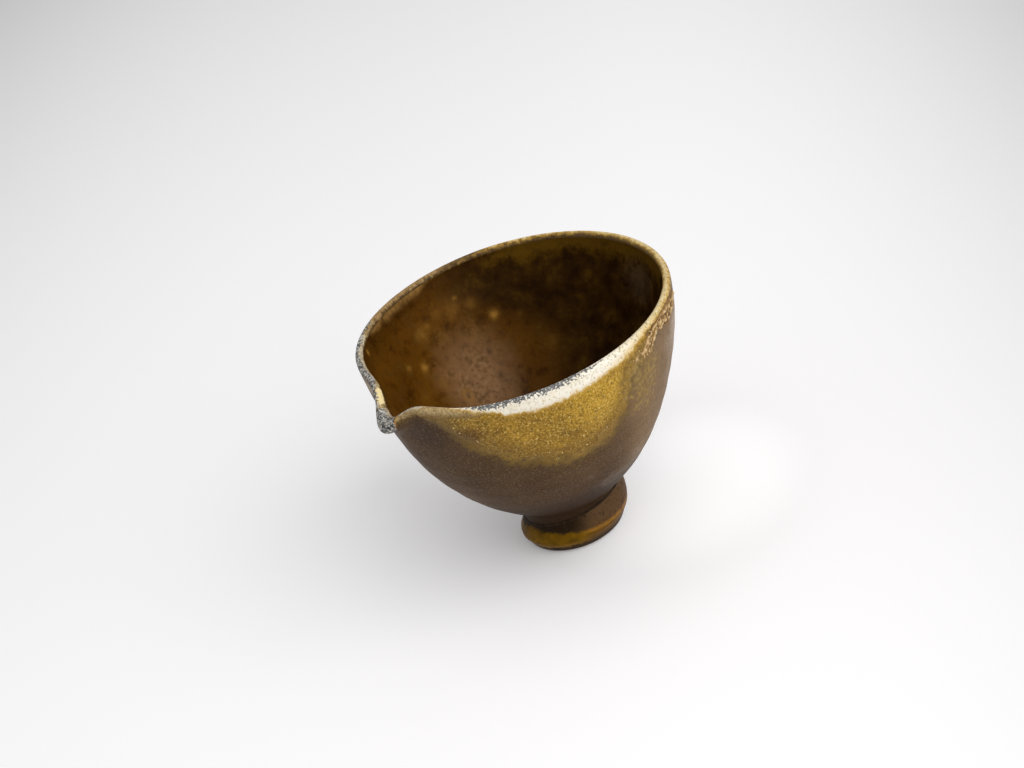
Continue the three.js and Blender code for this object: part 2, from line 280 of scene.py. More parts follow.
def lumps(points, size, seed):
    """Smooth random heights between -1 and 1, in lumps of about the given size in millimetres."""
    q = points / size + 31.7 * seed
    cell = np.floor(q)
    t = q - cell
    t = t * t * (3 - 2 * t)
    total = 0
    for corner in itertools.product((0, 1), repeat=3):
        hashed = np.sin((cell + corner) @ np.array([127.1, 311.7, 74.7])) * 43758.5453
        weight = np.prod(np.where(np.array(corner) == 1, t, 1 - t), axis=-1)
        total = total + weight * (hashed - np.floor(hashed))
    return 2 * total - 1


def grid_normals(points, wraps):
    """Outward normals of a grid of points whose rows run up the outside and over to the inside."""
    across = np.roll(points, -1, 1) - np.roll(points, 1, 1) if wraps else np.gradient(points, axis=1)
    normals = np.cross(across, np.gradient(points, axis=0))
    return normals / np.maximum(np.linalg.norm(normals, axis=-1, keepdims=True), 1e-9)


def wall(angle, arc, wraps=True):
    """The clay surface with the unevenness of the hand, and its normals without it."""
    radius, height = profile(angle, arc)
    base = pulled(radius, height, angle)
    normals = grid_normals(base, wraps)
    turns = np.sin(height * 1.15 + 0.6 * np.sin(np.radians(angle))) * smooth(arc / 12)
    (coarse, wide), (fine, narrow) = COARSE_LUMPS, FINE_LUMPS
    uneven = coarse * lumps(base, wide, 1) + fine * lumps(base, narrow, 2) + THROWING_RINGS * turns
    return base + normals * (uneven * smooth((arc + 4) / 6))[..., None], normals


print("the wall swells by up to", COARSE_LUMPS[0], "mm")

# %% [markdown]
# ## From grids to meshes
#
# Every skin is a grid of points: rows along the profile and columns round the pot. Three helpers close such
# a grid: a turned skin gets a middle point at each end, a hoop's last row meets its first, and a patch gets
# a back that is sunk in the wall. Numbers that the materials need, such as how far a point lies inside the
# glaze's hem, are stored on the points as attributes. A UV map could lead a painted mask to the same
# places, but an attribute needs no unwrapping and is exact at every point.

# %% Build meshes from grids


def make_piece(name, points, faces, fields, finish):
    mesh = bpy.data.meshes.new(name)
    mesh.from_pydata(((points + AXIS) * MM).tolist(), [], faces)
    for field, values in fields.items():
        layer = mesh.attributes.new(field, "FLOAT", "POINT")
        layer.data.foreach_set("value", np.asarray(values, dtype=np.float32).ravel())
    mesh.polygons.foreach_set("use_smooth", [True] * len(mesh.polygons))
    mesh.materials.append(finish)
    mesh.update()
    piece = bpy.data.objects.new(name, mesh)
    bpy.context.scene.collection.objects.link(piece)
    print(name, len(mesh.vertices), "points,", len(mesh.polygons), "faces")
    return piece


def grid_faces(rows, columns, start, wraps, flip):
    faces = []
    for i in range(rows - 1):
        for j in range(columns if wraps else columns - 1):
            k = (j + 1) % columns
            quad = [start + i * columns + j, start + i * columns + k]
            quad += [start + (i + 1) * columns + k, start + (i + 1) * columns + j]
            faces.append(quad[::-1] if flip else quad)
    return faces


print("a grid of 3 by 4 points that goes round has", len(grid_faces(3, 4, 0, True, False)), "faces")

# %% Close the grids


def turned_skin(name, points, fields, finish, bottom, top):
    """A grid that closes round the axis, with a middle point under its first and over its last row."""
    rows, columns = points.shape[:2]
    faces = grid_faces(rows, columns, 0, True, False)
    n = rows * columns
    last = n - columns
    faces += [[(j + 1) % columns, j, n] for j in range(columns)]
    faces += [[last + j, last + (j + 1) % columns, n + 1] for j in range(columns)]
    flat = np.concatenate([points.reshape(-1, 3), [bottom, top]])
    spread = {key: np.concatenate([np.ravel(v), [v[0, 0], v[-1, 0]]]) for key, v in fields.items()}
    return make_piece(name, flat, faces, spread, finish)


def hoop_skin(name, points, fields, finish):
    """A grid that closes both ways, as a ring of clay does."""
    rows, columns = points.shape[:2]
    faces = grid_faces(rows, columns, 0, True, False)
    last = (rows - 1) * columns
    faces += [[last + j, last + (j + 1) % columns, (j + 1) % columns, j] for j in range(columns)]
    return make_piece(name, points.reshape(-1, 3), faces, fields, finish)


def patch_skin(name, front, back, fields, finish):
    """A patch with a front, a sunk back and a rim between them."""
    rows, columns = front.shape[:2]
    n = rows * columns
    faces = grid_faces(rows, columns, 0, False, False) + grid_faces(rows, columns, n, False, True)
    bottom = [(0, j) for j in range(columns)]
    right = [(i, columns - 1) for i in range(1, rows)]
    top = [(rows - 1, j) for j in range(columns - 2, -1, -1)]
    left = [(i, 0) for i in range(rows - 2, 0, -1)]
    loop = [i * columns + j for i, j in bottom + right + top + left]
    for a, b in zip(loop, loop[1:] + loop[:1]):
        faces.append([b, a, n + a, n + b])
    flat = np.concatenate([front.reshape(-1, 3), back.reshape(-1, 3)])
    spread = {key: np.concatenate([np.ravel(v), np.ravel(v)]) for key, v in fields.items()}
    return make_piece(name, flat, faces, spread, finish)


print("ways to close a grid:", ", ".join(way.__name__ for way in (turned_skin, hoop_skin, patch_skin)))

# %% [markdown]
# ## Where the ash lies
#
# The ash flew in from one side. There it melted to a golden sheet whose lower hem hangs about 25 mm below
# the lip. Along the lip the glaze turned cream, and the very edge, where it ran thin, went blue grey. Such
# borders could be painted by hand in Vertex Paint. Here each border is a short list of places, an angle
# from the spout and a depth below the lip's outer edge, because a list is easy to read and to change.

# %% Map the borders
HEM_DEPTH = 25.0
GOLD_HEM = [
    (4, 0), (16, 1.5), (24, 4.5), (30, 10.7), (38, 16), (50, 22.6), (60, 25), (70, 26.2), (80, 24.8),
    (86, 21.1), (90, 18.5), (92, 14), (96, 8.2), (103, 5.5), (112, 3.4), (122, 1.6), (138, 0.2),
]
CREAM_OUTER = [
    (26, -3.2), (32, -2.0), (37, -1.2), (44, 0.2), (49, 2.2), (55, 3.0), (64, 3.3), (71, 3.2), (79, 2.6),
    (86, 2.2), (95, 1.5), (99, 0.9), (103, 0), (110, -0.7), (122, -1.1), (140, -1.2), (190, -1.2),
    (215, -1.35), (236, -1.9), (254, -5.0),
]
CREAM_INNER = [
    (24, -3.6), (112, -3.4), (130, -2.6), (150, -2.1), (190, -1.8), (215, -1.7), (240, -1.8), (258, -2.1),
]
SLATE_OUTER = [
    (34, -2.4), (39, -1.3), (44, -0.6), (60, -0.9), (72, -0.2), (84, -0.5), (94, -1.3), (108, -2.0),
]
SLATE_INNER = [(34, -2.2), (44, -2.7), (60, -2.9), (74, -2.8), (86, -2.4), (98, -2.2), (108, -2.0)]
OCHRE_OUTER = [
    (-100, -0.4), (-66, -0.4), (-60, -1.2), (-12, -1.2), (5, -0.6), (10, 0.6), (20, 1.7), (35, 1.5),
    (50, 0.6), (60, 0), (100, 0), (260, -0.5),
]


def along(angle, places):
    return np.interp(angle, [a for a, _ in places], [depth for _, depth in places])


def hem_depth(angle):
    """Where the sheet of glass ends, which is lower at the right than its golden part."""
    left = 1 - np.clip((66 - angle) / 52, 0, 1) ** 1.5
    right = 1 - smooth((angle - 94) / 29)
    return HEM_DEPTH * left * right


def gold_inside(angle, arc):
    """Distance inside the gold's hem. Where the hem is steep, that is less than the difference in depth."""
    step = 4
    slope = (along(angle + step, GOLD_HEM) - along(angle - step, GOLD_HEM)) / (2 * step * RIM_MM_PER_DEGREE)
    return (along(angle, GOLD_HEM) - np.maximum(arc, 0)) / np.hypot(1, slope)


print("hem at the middle of the sheet:", float(hem_depth(np.array(66.0))), "mm down")

# %% [markdown]
# ## The zones as numbers on the wall
#
# Each zone becomes a signed distance in millimetres, positive inside the zone, so that a material can
# soften or fray its border as it likes. A plain mask of 0 and 1 would show the grid's steps. Streaks are
# narrow zones that run along the lip. The tints, such as the rust in the sheet or the glare at the right,
# are soft shares instead. The glare is a painted reflection. The paler right side of the clay is painted
# light, and its dark lower belly is painted shade.

# %% Measure streaks and patches
MILK_STREAKS = [  # from one angle to another, place on the lip, half width, blend at the ends
    (-60, -12, -2.2, 0.95, 8), (-14.5, -4, -2.1, 1.0, 3), (-7, 6, -2.9, 1.0, 3), (3, 22, -2.0, 0.9, 5),
    (16, 40, -2.55, 0.35, 6),
]
SLATE_STREAKS = [(-6.5, 7, 0.0, 2.4, 2), (3, 21, -2.2, 0.45, 5)]


def between(angle, start, stop, blend):
    return np.minimum(smooth((angle - start) / blend), smooth((stop - angle) / blend))


def streak(angle, arc, start, stop, middle, half, blend):
    """Distance inside a streak that runs along the lip from one angle to another."""
    return half - np.abs(arc - middle) - 4 * (1 - between(angle, start, stop, blend))


def patch(angle, arc, at, depth, width, height):
    """Share inside an oval patch: 1 in its middle, 0 on its border."""
    return 1 - np.hypot((angle - at) / width, (arc - depth) / height)


print("streaks along the lip:", len(MILK_STREAKS), "of milk and", len(SLATE_STREAKS), "of slate")

# %% Measure the coats
NOWHERE = -4  # a distance that is outside a coat with all its noise


def coat_distances(angle, arc, round_the_back):
    """Signed distances to the borders of the coats on the outside and the lip."""
    gold = np.where(arc < -LIP_LENGTH, -20, gold_inside(angle, arc))
    cream = np.minimum(along(round_the_back, CREAM_OUTER) - arc, arc - along(round_the_back, CREAM_INNER))
    cream = np.where(round_the_back < 25, NOWHERE, cream)
    milk = np.max([streak(angle, arc, *each) for each in MILK_STREAKS], axis=0)
    slate = np.minimum(along(angle, SLATE_OUTER) - arc, arc - along(angle, SLATE_INNER))
    slate = np.where((angle < 33) | (angle > 109), NOWHERE, slate)
    wandering = -1.1 - 0.5 * smooth((angle + 34) / 16) + 1.2 * smooth((angle + 17) / 5)
    left = streak(angle, arc, -66, -2, wandering, 1.0, 5)
    slate = np.max([slate, left] + [streak(angle, arc, *each) for each in SLATE_STREAKS], axis=0)
    ochre = np.minimum(along(round_the_back, OCHRE_OUTER) - arc, arc + 3.2)
    return {"arc": arc, "gold": gold, "cream": cream, "milk": milk, "slate": slate, "ochre": ochre}


print("a place far from a coat counts as", -NOWHERE, "mm outside it")

# %% Measure the tints


def tints(angle, arc, round_the_back):
    """Shares of the colours that change slowly on the lip, on the sheet and on the bare clay; on the clay
    some are painted light, painted reflection and painted shade.
    """
    full_turn = np.where(angle < 0, angle + 360, angle)
    seam = 1 - np.abs(angle - 7.2 + 0.5 * (arc + 2)) / 0.5
    shadows = 1.3 * patch(angle, arc, 15, 7, 12, 7), 0.9 * patch(angle, arc, 99, 7, 5, 4)
    # painted reflections: glare near the right edge and low at the right
    painted_glares = patch(angle, arc, 138, 12, 24, 17), 0.4 * patch(angle, arc, 104, 45, 34, 13)
    lip_tints = {
        "honey": smooth((round_the_back - 58) / 62),
        "seam": seam * smooth((arc + 2.5) / 1.5) * smooth((3 - arc) / 2),
        "ivory": between(angle, -14, -4, 2),
        "dim": between(full_turn, 208, 308, 18),
        "inner": between(full_turn, 200, 266, 16) * smooth((-1.0 - arc) / 0.9),
        "spout": smooth((32 - angle) / 20),
    }
    sheet_tints = {
        "warm": bell((angle - 80) / 15) * bell((arc - 8) / 9),
        "rust": patch(angle, arc, 34, 7, 9, 4.5),
        "olive": patch(angle, arc, 101, 13, 8.5, 10),
    }
    # On the clay, the paler right side is painted light where the window falls, the glare patches are painted
    # reflections, and the dark lower belly is painted shade.
    clay_tints = {
        "shadow": np.maximum(*shadows),
        "ashy": patch(angle, arc, -26, 1.2, 22, 5),
        "haze": np.maximum(*painted_glares),
        "right": smooth((round_the_back - 71) / 40) * (1 - smooth((round_the_back - 150) / 90)),
        "low": smooth((arc - 34) / 18),
    }
    return lip_tints | sheet_tints | clay_tints


def zones(angle, arc):
    """All numbers that the outside's finish reads, by name."""
    round_the_back = np.where(angle < -100, angle + 360, angle)
    return coat_distances(angle, arc, round_the_back) | tints(angle, arc, round_the_back)


print("numbers on each point of the wall:", ", ".join(zones(np.zeros(1), np.zeros(1))))

# %% [markdown]
# ## Shader maths as expressions
#
# A material's maths is easier to read as an expression than as a chain of nodes. The Socket class wraps one
# output. Adding or multiplying two of them adds the Math node that does it, also with a plain number on the
# left, so that 1 - mask works.

# %% Wrap sockets


class Socket:
    def __init__(self, finish, output):
        self.finish = finish
        self.output = output

    def math(self, operation, *values):
        return self.finish.node("ShaderNodeMath", {"operation": operation}, dict(enumerate(values)))

    def __add__(self, other):
        return self.math("ADD", self, other)

    def __radd__(self, other):
        return self.math("ADD", other, self)

    def __sub__(self, other):
        return self.math("SUBTRACT", self, other)

    def __rsub__(self, other):
        return self.math("SUBTRACT", other, self)

    def __mul__(self, other):
        return self.math("MULTIPLY", self, other)

    def __rmul__(self, other):
        return self.math("MULTIPLY", other, self)

    def __truediv__(self, other):
        return self.math("DIVIDE", self, other)

    def clamp(self):
        return self.math("MINIMUM", self.math("MAXIMUM", self, 0.0), 1.0)

    def soft(self):
        """The same, with slow ends."""
        t = self.clamp()
        return t * t * (3 - 2 * t)

    def largest(self, other):
        return self.math("MAXIMUM", self, other)

    def size(self):
        return self.math("ABSOLUTE", self)


print("operators that add a Math node: + - * /")

# %% [markdown]
# ## A material under construction
#
# The Finish class holds one material and its main shader, and adds every other node through one method. It
# remembers the noises and fields that it has made, so that several coats can ask for the same one. Noise
# sizes are given in millimetres of the object, because all patterns read Object coordinates.

# %% Read colours


def linear(hex_code):
    """A screen colour such as 9c7a2c as the linear numbers that shaders take."""
    parts = [int(hex_code[i:i + 2], 16) / 255 for i in (0, 2, 4)]
    return [p / 12.92 if p <= 0.04045 else ((p + 0.055) / 1.055) ** 2.4 for p in parts] + [1.0]


print("white paper is", [round(v, 2) for v in linear("f0f0f0")])

# %% Build finishes


class Finish:
    """A material under construction."""

    def __init__(self, name, roughness, specular, coat=0.0, coat_roughness=0.3):
        self.material = bpy.data.materials.new(name)
        self.material.use_nodes = True
        self.tree = self.material.node_tree
        self.shader = self.tree.nodes["Principled BSDF"]
        self.shader.inputs["Roughness"].default_value = roughness
        self.shader.inputs["Specular IOR Level"].default_value = specular
        self.shader.inputs["Coat Weight"].default_value = coat
        self.shader.inputs["Coat Roughness"].default_value = coat_roughness
        self.place = self.node("ShaderNodeTexCoord", {}, {}, "Object")
        self.known = {}

    def node(self, kind, settings, inputs, output=0):
        made = self.tree.nodes.new(kind)
        for key, value in settings.items():
            setattr(made, key, value)
        for key, value in inputs.items():
            if isinstance(value, Socket):
                self.tree.links.new(value.output, made.inputs[key])
            else:
                made.inputs[key].default_value = value
        return Socket(self, made.outputs[output])

    def once(self, key, kind, settings, inputs, output):
        """The same as node, but asked again it gives the socket that it made before."""
        if key not in self.known:
            self.known[key] = self.node(kind, settings, inputs, output)
        return self.known[key]

    def fields(self, names):
        """The numbers that are stored on the mesh under these names."""
        kind = "ShaderNodeAttribute"
        return [self.once(name, kind, {"attribute_name": name}, {}, "Fac") for name in names.split()]

    def noises(self, sizes):
        return [self.noise(*size) for size in sizes]

    def noise(self, size_mm, detail):
        """Noise between about 0 and 1, in spots of the given size."""
        values = {"Vector": self.place, "Scale": 1000 / size_mm, "Detail": detail, "Roughness": 0.55}
        return self.once((size_mm, detail), "ShaderNodeTexNoise", {}, values, "Fac")

    def dots(self, spacing_mm, radius_mm):
        """Round dots of one radius, one for each scattered point: 1 in a dot, 0 outside."""
        values = {"Vector": self.place, "Scale": 1000 / spacing_mm}
        away = self.node("ShaderNodeTexVoronoi", {}, values, "Distance")
        share = radius_mm / spacing_mm
        return ((share - away) / (0.35 * share) + 0.5).clamp()

    def along(self, axis):
        """One coordinate of the place, in metres."""
        return self.node("ShaderNodeSeparateXYZ", {}, {"Vector": self.place}, axis)

    def mix(self, a, b, mask):
        settings = {"data_type": "RGBA"}
        inputs = {0: mask, 6: self.colour(a), 7: self.colour(b)}
        return self.node("ShaderNodeMix", settings, inputs, 2)

    def colour(self, value):
        return value if isinstance(value, Socket) else linear(value)

    def paint(self, colour, roughness=None, height=None, depth_mm=0.1, coat=None):
        self.tree.links.new(colour.output, self.shader.inputs["Base Color"])
        if roughness is not None:
            self.tree.links.new(roughness.output, self.shader.inputs["Roughness"])
        if coat is not None:
            self.tree.links.new(coat.output, self.shader.inputs["Coat Weight"])
        if height is not None:
            inputs = {"Height": height, "Distance": depth_mm * MM, "Strength": 1.0}
            bump = self.node("ShaderNodeBump", {}, inputs, "Normal")
            self.tree.links.new(bump.output, self.shader.inputs["Normal"])
        print(self.material.name, "has", len(self.tree.nodes), "nodes")
        return self.material


print("a finish can make:", ", ".join(name for name in vars(Finish) if name in ("noise", "dots", "mix")))

# %% [markdown]
# ## The floor
#
# The floor is white paper that runs out far past the view, so it needs no curved backdrop behind it. To the
# camera, and in reflections, it is a little brighter than the paper that lights the pot: Light Path tells
# the shader which ray asks. It is painted darker slowly toward the corners of the view, as painted shade.
# The real pot leans, so light from the window reaches the paper right of its foot. Here the pot stands
# upright and shades that place, so a small patch of the paper is painted a little brighter.

# %% Lay the floor
PAPER, PAPER_THAT_LIGHTS = "fbfafb", "eeedee"
FLOOR_REACH = 6.0
TO_THE_RIGHT, TO_THE_BACK = (0.64, 0.77), (-0.77, 0.64)  # directions of the view on the floor
GLOW, PATCH_GLOW, DARKEST = 0.14, 0.15, 0.62


def floor_finish():
    f = Finish("white_paper", 0.75, 0.1)
    x, y = f.along("X"), f.along("Y")
    across, away = (x * east + y * north for east, north in (TO_THE_RIGHT, TO_THE_BACK))
    # painted shade: the paper darkens toward the right, the left and the far side of the view
    right = ((across - 0.02) / 0.15).largest(0.0)
    left = ((-0.1 - across) / 0.22).largest(0.0)
    far = (away / 0.65).largest(0.0)
    bright = (1 - right * right * 0.25 - left * left * 0.12 - far * far * 0.1).largest(DARKEST)
    path = f.node("ShaderNodeLightPath", {}, {}, "Is Camera Ray")
    rays = path.output.node.outputs
    glossy, through = Socket(f, rays["Is Glossy Ray"]), Socket(f, rays["Is Transmission Ray"])
    seen = path.largest(glossy).largest(through)
    beside, behind = (across - 0.03) / 0.042, (away - 0.006) / 0.045
    lift = (1 - beside * beside - behind * behind).soft()
    glow = f.mix("000000", PAPER, seen * bright * (lift * PATCH_GLOW + GLOW))
    f.tree.links.new(glow.output, f.shader.inputs["Emission Color"])
    f.shader.inputs["Emission Strength"].default_value = 1
    return f.paint(f.mix(PAPER_THAT_LIGHTS, f.mix("000000", PAPER, bright), seen))


def lay_floor():
    mesh = bpy.data.meshes.new("floor")
    corners = [(-1, -1), (1, -1), (1, 1), (-1, 1)]
    mesh.from_pydata([(x * FLOOR_REACH, y * FLOOR_REACH, 0) for x, y in corners], [], [(0, 1, 2, 3)])
    mesh.materials.append(floor_finish())
    floor = bpy.data.objects.new("floor", mesh)
    bpy.context.scene.collection.objects.link(floor)


lay_floor()

# %% [markdown]
# ## The bare clay
#
# One finish serves the wall and the sheet of glaze that lies on it, so no border shows where the sheet
# thins out. It is built as the kiln built it, one coat over another, and each coat is a function that gives
# a colour. The first is satin brown clay. It is painted paler at the right, where the window light falls,
# with painted reflections of the bright room near the right edge and low at the right. It is painted
# nearly black near the joint, as painted shade under the belly. It is full of fine grains: noise of several
# sizes does that, where an image texture would show its pixels close up.

# %% Fire the clay
WALL_NOISES = [(20, 2), (5, 3), (1.3, 4), (0.6, 3), (0.35, 1)]  # size in millimetres and detail


def clay_coat(f):
    right, haze, low, shadow, ashy = f.fields("right haze low shadow ashy")
    broad, middle, fine, dust, grain = f.noises(WALL_NOISES)
    clay = f.mix("4c351f", "5e462e", (broad * 2.4 - 0.7).clamp())
    # painted light: the clay is painted paler on the right, the side that faces the window
    clay = f.mix(clay, "836848", (right + (broad - 0.5) * 0.5).soft())
    # painted reflection: pale glare of the bright room on the satin clay, near the right edge and low at the
    # right
    clay = f.mix(clay, "c2b0a0", (haze + (middle - 0.5) * 1.2).soft() * 0.8)
    # painted shade: the lower belly is darkened toward the joint, under the bowl's overhang
    clay = f.mix(clay, "2a1808", (low * 1.2 + (middle - 0.5) * 0.4).soft() * 0.8)
    clay = f.mix(clay, "3b2c22", (shadow + (middle - 0.5) * 1.4 + (fine - 0.5)).soft() * 0.6)
    clay = f.mix(clay, "94805f", ((dust - 0.54) * 7).clamp() * (0.32 - low * 0.25))
    clay = f.mix(clay, "1b120a", ((0.47 - grain) * 8 + (fine - 0.5) * 3).clamp() * 0.45)
    clay = f.mix(clay, "a38c6c", f.dots(3.1, 0.18) * (1 - low.soft()) * 0.3)
    return f.mix(clay, "b3a188", (ashy * 1.5 + (fine - 0.5) * 1.5).soft() * 0.85)


print("noise sizes on the wall:", [size for size, _ in WALL_NOISES], "mm")

# %% [markdown]
# ## The melted ash
#
# The golden sheet is speckled from yellow to brown, and darker where it thins out. Its mask is the zone's
# distance plus noise: coarse noise bends the hem, fine noise breaks it into specks. The same distance, a
# few millimetres inside, places the brown clouds that follow the hem.

# %% Melt the ash


def hem_distance(f):
    gold, = f.fields("gold")
    broad, middle, fine, dust, _ = f.noises(WALL_NOISES)
    return gold + (broad - 0.5) * 3 + (middle - 0.5) * 3.5 + (fine - 0.5) * 7 + (dust - 0.5) * 7


def ash_coat(f, edge):
    warm, rust = f.fields("warm rust")
    _, middle, fine, dust, grain = f.noises(WALL_NOISES)
    ash = f.mix("8a661f", "b58a2f", (middle * 2.6 - 0.8).clamp())
    ash = f.mix(ash, "c89d36", (warm + (middle - 0.5) * 0.8).soft() * 0.85)
    ash = f.mix(ash, "673e12", (rust * 1.3 + (middle - 0.5) + (fine - 0.5) * 2).soft() * 0.75)
    ash = f.mix(ash, "574416", ((fine - 0.52) * 6).clamp() * 0.5)
    ash = f.mix(ash, "3f3111", ((dust - 0.54) * 10).clamp() * 0.55)
    ash = f.mix(ash, "3a2d10", ((grain - 0.56) * 9).clamp() * 0.5)
    ash = f.mix(ash, "dfc472", ((0.44 - dust) * 10 + (0.5 - grain) * 4).clamp() * 0.5)
    browned = (1 - ((edge - 5.5) / 3.5).size()).soft() * ((middle - 0.42) * 6).clamp()
    ash = f.mix(ash, "5f4318", browned * 0.7)
    return f.mix("66502a", ash, (edge / 5).clamp())


def lay_olive_veil(f, body):
    """Thin olive glass at the right end of the sheet."""
    olive, = f.fields("olive")
    _, middle, fine, dust, _ = f.noises(WALL_NOISES)
    patchy = (olive * 1.6 + (middle - 0.5) * 3 + (fine - 0.5) * 4 + (dust - 0.5) * 3 + 0.2).soft()
    return f.mix(body, f.mix("6d5530", "a4874c", (fine * 3 - 1).clamp()), patchy * 0.75)


print("the sheet's hem hangs lowest,", max(depth for _, depth in GOLD_HEM), "mm, near its middle")

# %% [markdown]
# ## The lip
#
# The lip got the most ash and lost the most glass, which ran down from it. So it is tan at the back, cream
# along the sheet, chalky left of the spout, and slate grey where the glass ran thinnest. The four coats go
# on in this order, each over the one before, because a later one breaks up the borders of those below it.

# %% Glaze the lip


def lay_tan(f, body):
    ochre, honey, arc, dim, inner = f.fields("ochre honey arc dim inner")
    _, middle, fine, dust, grain = f.noises(WALL_NOISES)
    rim = f.mix("8f7244", "d6bd8c", ((fine + dust) * 2.2 - 1.7).clamp())
    rim = f.mix(rim, "7d5f2c", ((arc + 0.8 + (fine - 0.5) * 2) / 2).soft() * 0.8)
    rim = f.mix(rim, "5f4a22", ((-1.85 - arc + (fine - 0.5) * 2) / 0.8).soft() * honey * 0.9)
    rim = f.mix(rim, "a17c4c", dim * 0.6)
    brown = f.mix("4f3b1c", "80623a", (fine * 3 - 1).clamp())
    rim = f.mix(rim, brown, (inner + (fine - 0.5) * inner).soft() * 0.85)
    rim = f.mix(rim, "46351a", ((grain - 0.55) * 9).clamp() * 0.6)
    return f.mix(body, rim, ((ochre + (middle - 0.5) * 2 + (fine - 0.5) * 3) / 1.5 + 0.4).soft() * 0.9)


def lay_cream(f, body):
    cream, honey = f.fields("cream honey")
    _, middle, fine, dust, _ = f.noises(WALL_NOISES)
    edge = cream + (middle - 0.5) * 2.2 + (fine - 0.5) * 2.6 + (dust - 0.5) * 1.8 + 0.2
    pale = f.mix("f6ecd6", "fdf8ec", (middle * 2.5 - 0.8).clamp())
    pale = f.mix(pale, "e3c377", ((1.3 - edge) / 1.5 - 0.22 + honey * 0.8).clamp() * 0.8)
    pale = f.mix(pale, "e0c78e", (honey * 1.3 - 0.5 + (middle - 0.5) * 0.8 + (fine - 0.5)).clamp() * 0.9)
    pale = f.mix(pale, "8f7a4a", ((dust - 0.53) * 10).clamp() * (0.3 + 0.5 * honey))
    pale = f.mix(pale, "fbf3df", ((0.43 - fine) * 8).clamp() * honey * 0.8)
    pale = f.mix(pale, "3a3324", f.dots(4.5, 0.2) * 0.7)
    pale = f.mix(pale, "2f2b20", f.dots(7.5, 0.34))
    body = f.mix(body, "c79c42", ((edge + 1.2) / 1.4).soft() * 0.75)
    return f.mix(body, pale, (edge / 0.9 + 0.4).soft())


print("the cream reaches", max(depth for _, depth in CREAM_OUTER), "mm below the lip")

# %% Break up the lip's edge


def lay_chalk(f, body):
    milk, ivory, seam = f.fields("milk ivory seam")
    _, _, fine, dust, _ = f.noises(WALL_NOISES)
    chalk = f.mix("a0907a", "e6d6b0", (fine * 3.4 - 1.2).clamp())
    chalk = f.mix(chalk, "f4dda2", ivory * 0.9)
    body = f.mix(body, chalk, ((milk + (dust - 0.5) * 1.2) / 0.4 + 0.5).soft())
    return f.mix(body, "c8954a", (seam * 2).clamp() * 0.85)


def slate_mask(f):
    slate, honey = f.fields("slate honey")
    _, _, fine, dust, _ = f.noises(WALL_NOISES)
    return ((slate + (fine - 0.5) * 3.5 + (dust - 0.5) * 3.5 + 0.15 - honey * 3.5) / 0.4 + 0.4).soft()


def slate_coat(f):
    spout, = f.fields("spout")
    _, _, fine, dust, grain = f.noises(WALL_NOISES)
    grey = f.mix("565656", "8a8986", (fine * 3 - 1).clamp())
    grey = f.mix(grey, "232426", ((grain - 0.53) * 10).clamp() * 0.7)
    grey = f.mix(grey, "d8d1c4", ((fine - 0.48) * 9).clamp() * spout * 0.5)
    grey = f.mix(grey, "26282b", ((dust - 0.52) * 12).clamp() * spout * 0.55)
    return f.mix(grey, "f1ebe0", ((0.45 - dust) * 10 + (0.5 - grain) * 4).clamp() * 0.9)


print("the slate lies up to", -min(place for _, place in SLATE_INNER), "mm over the lip")

# %% [markdown]
# ## The outside, coat over coat
#
# Now the coats are put together. Glass is smoother than clay, so the hem's distance also lowers the
# roughness and adds a thin clear coat, and the finer noises raise a slight grain in the surface.

# %% Mix the outside finish


def outside_finish():
    f = Finish("wood_fired_outside", 0.45, 0.07)
    _, _, fine, dust, grain = f.noises(WALL_NOISES)
    edge, slated = hem_distance(f), slate_mask(f)
    body = f.mix(clay_coat(f), ash_coat(f, edge), ((edge + 2) / 3.6).soft())
    for lay in (lay_olive_veil, lay_tan, lay_cream, lay_chalk):
        body = lay(f, body)
    body = f.mix(body, slate_coat(f), slated)
    glassy = ((edge + 1) / 5).clamp()
    height = fine * 0.3 + dust * 0.5 + grain * 0.25 - slated * 0.3
    return f.paint(body, 0.5 - 0.15 * glassy + 0.1 * (fine - 0.5), height, 0.09, 0.1 * glassy)


OUTSIDE = outside_finish()

# %% [markdown]
# ## The inside: amber glass with ash spots
#
# Inside, the glaze pooled to a dark glossy amber. It is thinner and paler toward the spout side, olive
# under the far lip, and nearly black at the right, partly because the glaze is darker there and partly as
# painted shade for the right wall's own shadow. Just under the lip it is painted darker as painted shade.
# A paler, speckled patch deep on the left and a faint grey one under the far right lip are painted
# reflections of the window. A few specks of ash fell in and left pale spots with soft rims. Amber could be
# real glass over clay, but light that passes a thin coat twice takes long to render and looks the same as a
# dark colour under a soft gloss. Each spot is stored as a field, a distance from its middle.

# %% Mix the inside finish
PALE_SPOTS = [  # angle, depth, radius, strength
    (-72, 18.6, 1.2, 1.0), (-64, 15.4, 0.9, 0.6), (-81, 11.5, 2.3, 0.45), (-85, 10.4, 1.3, 0.35),
    (-92, 9.0, 2.2, 0.2), (-99, 10.6, 2.8, 0.3), (-107, 11.2, 1.7, 0.3), (-115, 16.4, 1.2, 1.0),
    (-102, 8.0, 0.5, 0.8), (-47, 1.9, 0.8, 1.1), (-88, 15.0, 3.0, 0.2), (-102, 17.5, 3.2, 0.2),
    (-126, 18.4, 0.9, 0.15), (-60, 24.0, 2.6, 0.15), (-138, 27.0, 2.2, 0.15), (-76, 25.0, 1.6, 0.2),
]
PITS = [
    (-106, 24.8, 0.8, 0.8), (-106, 31.3, 1.0, 0.8), (-94, 24.0, 0.8, 0.5), (-99, 17.0, 1.0, 0.5),
    (-83, 31.1, 0.6, 0.6),
]
RINGS = [(-83, 31.1, 1.35, 0.45)]
INSIDE_NOISES = [(16, 3), (4.5, 4), (1.3, 3), (0.6, 2)]


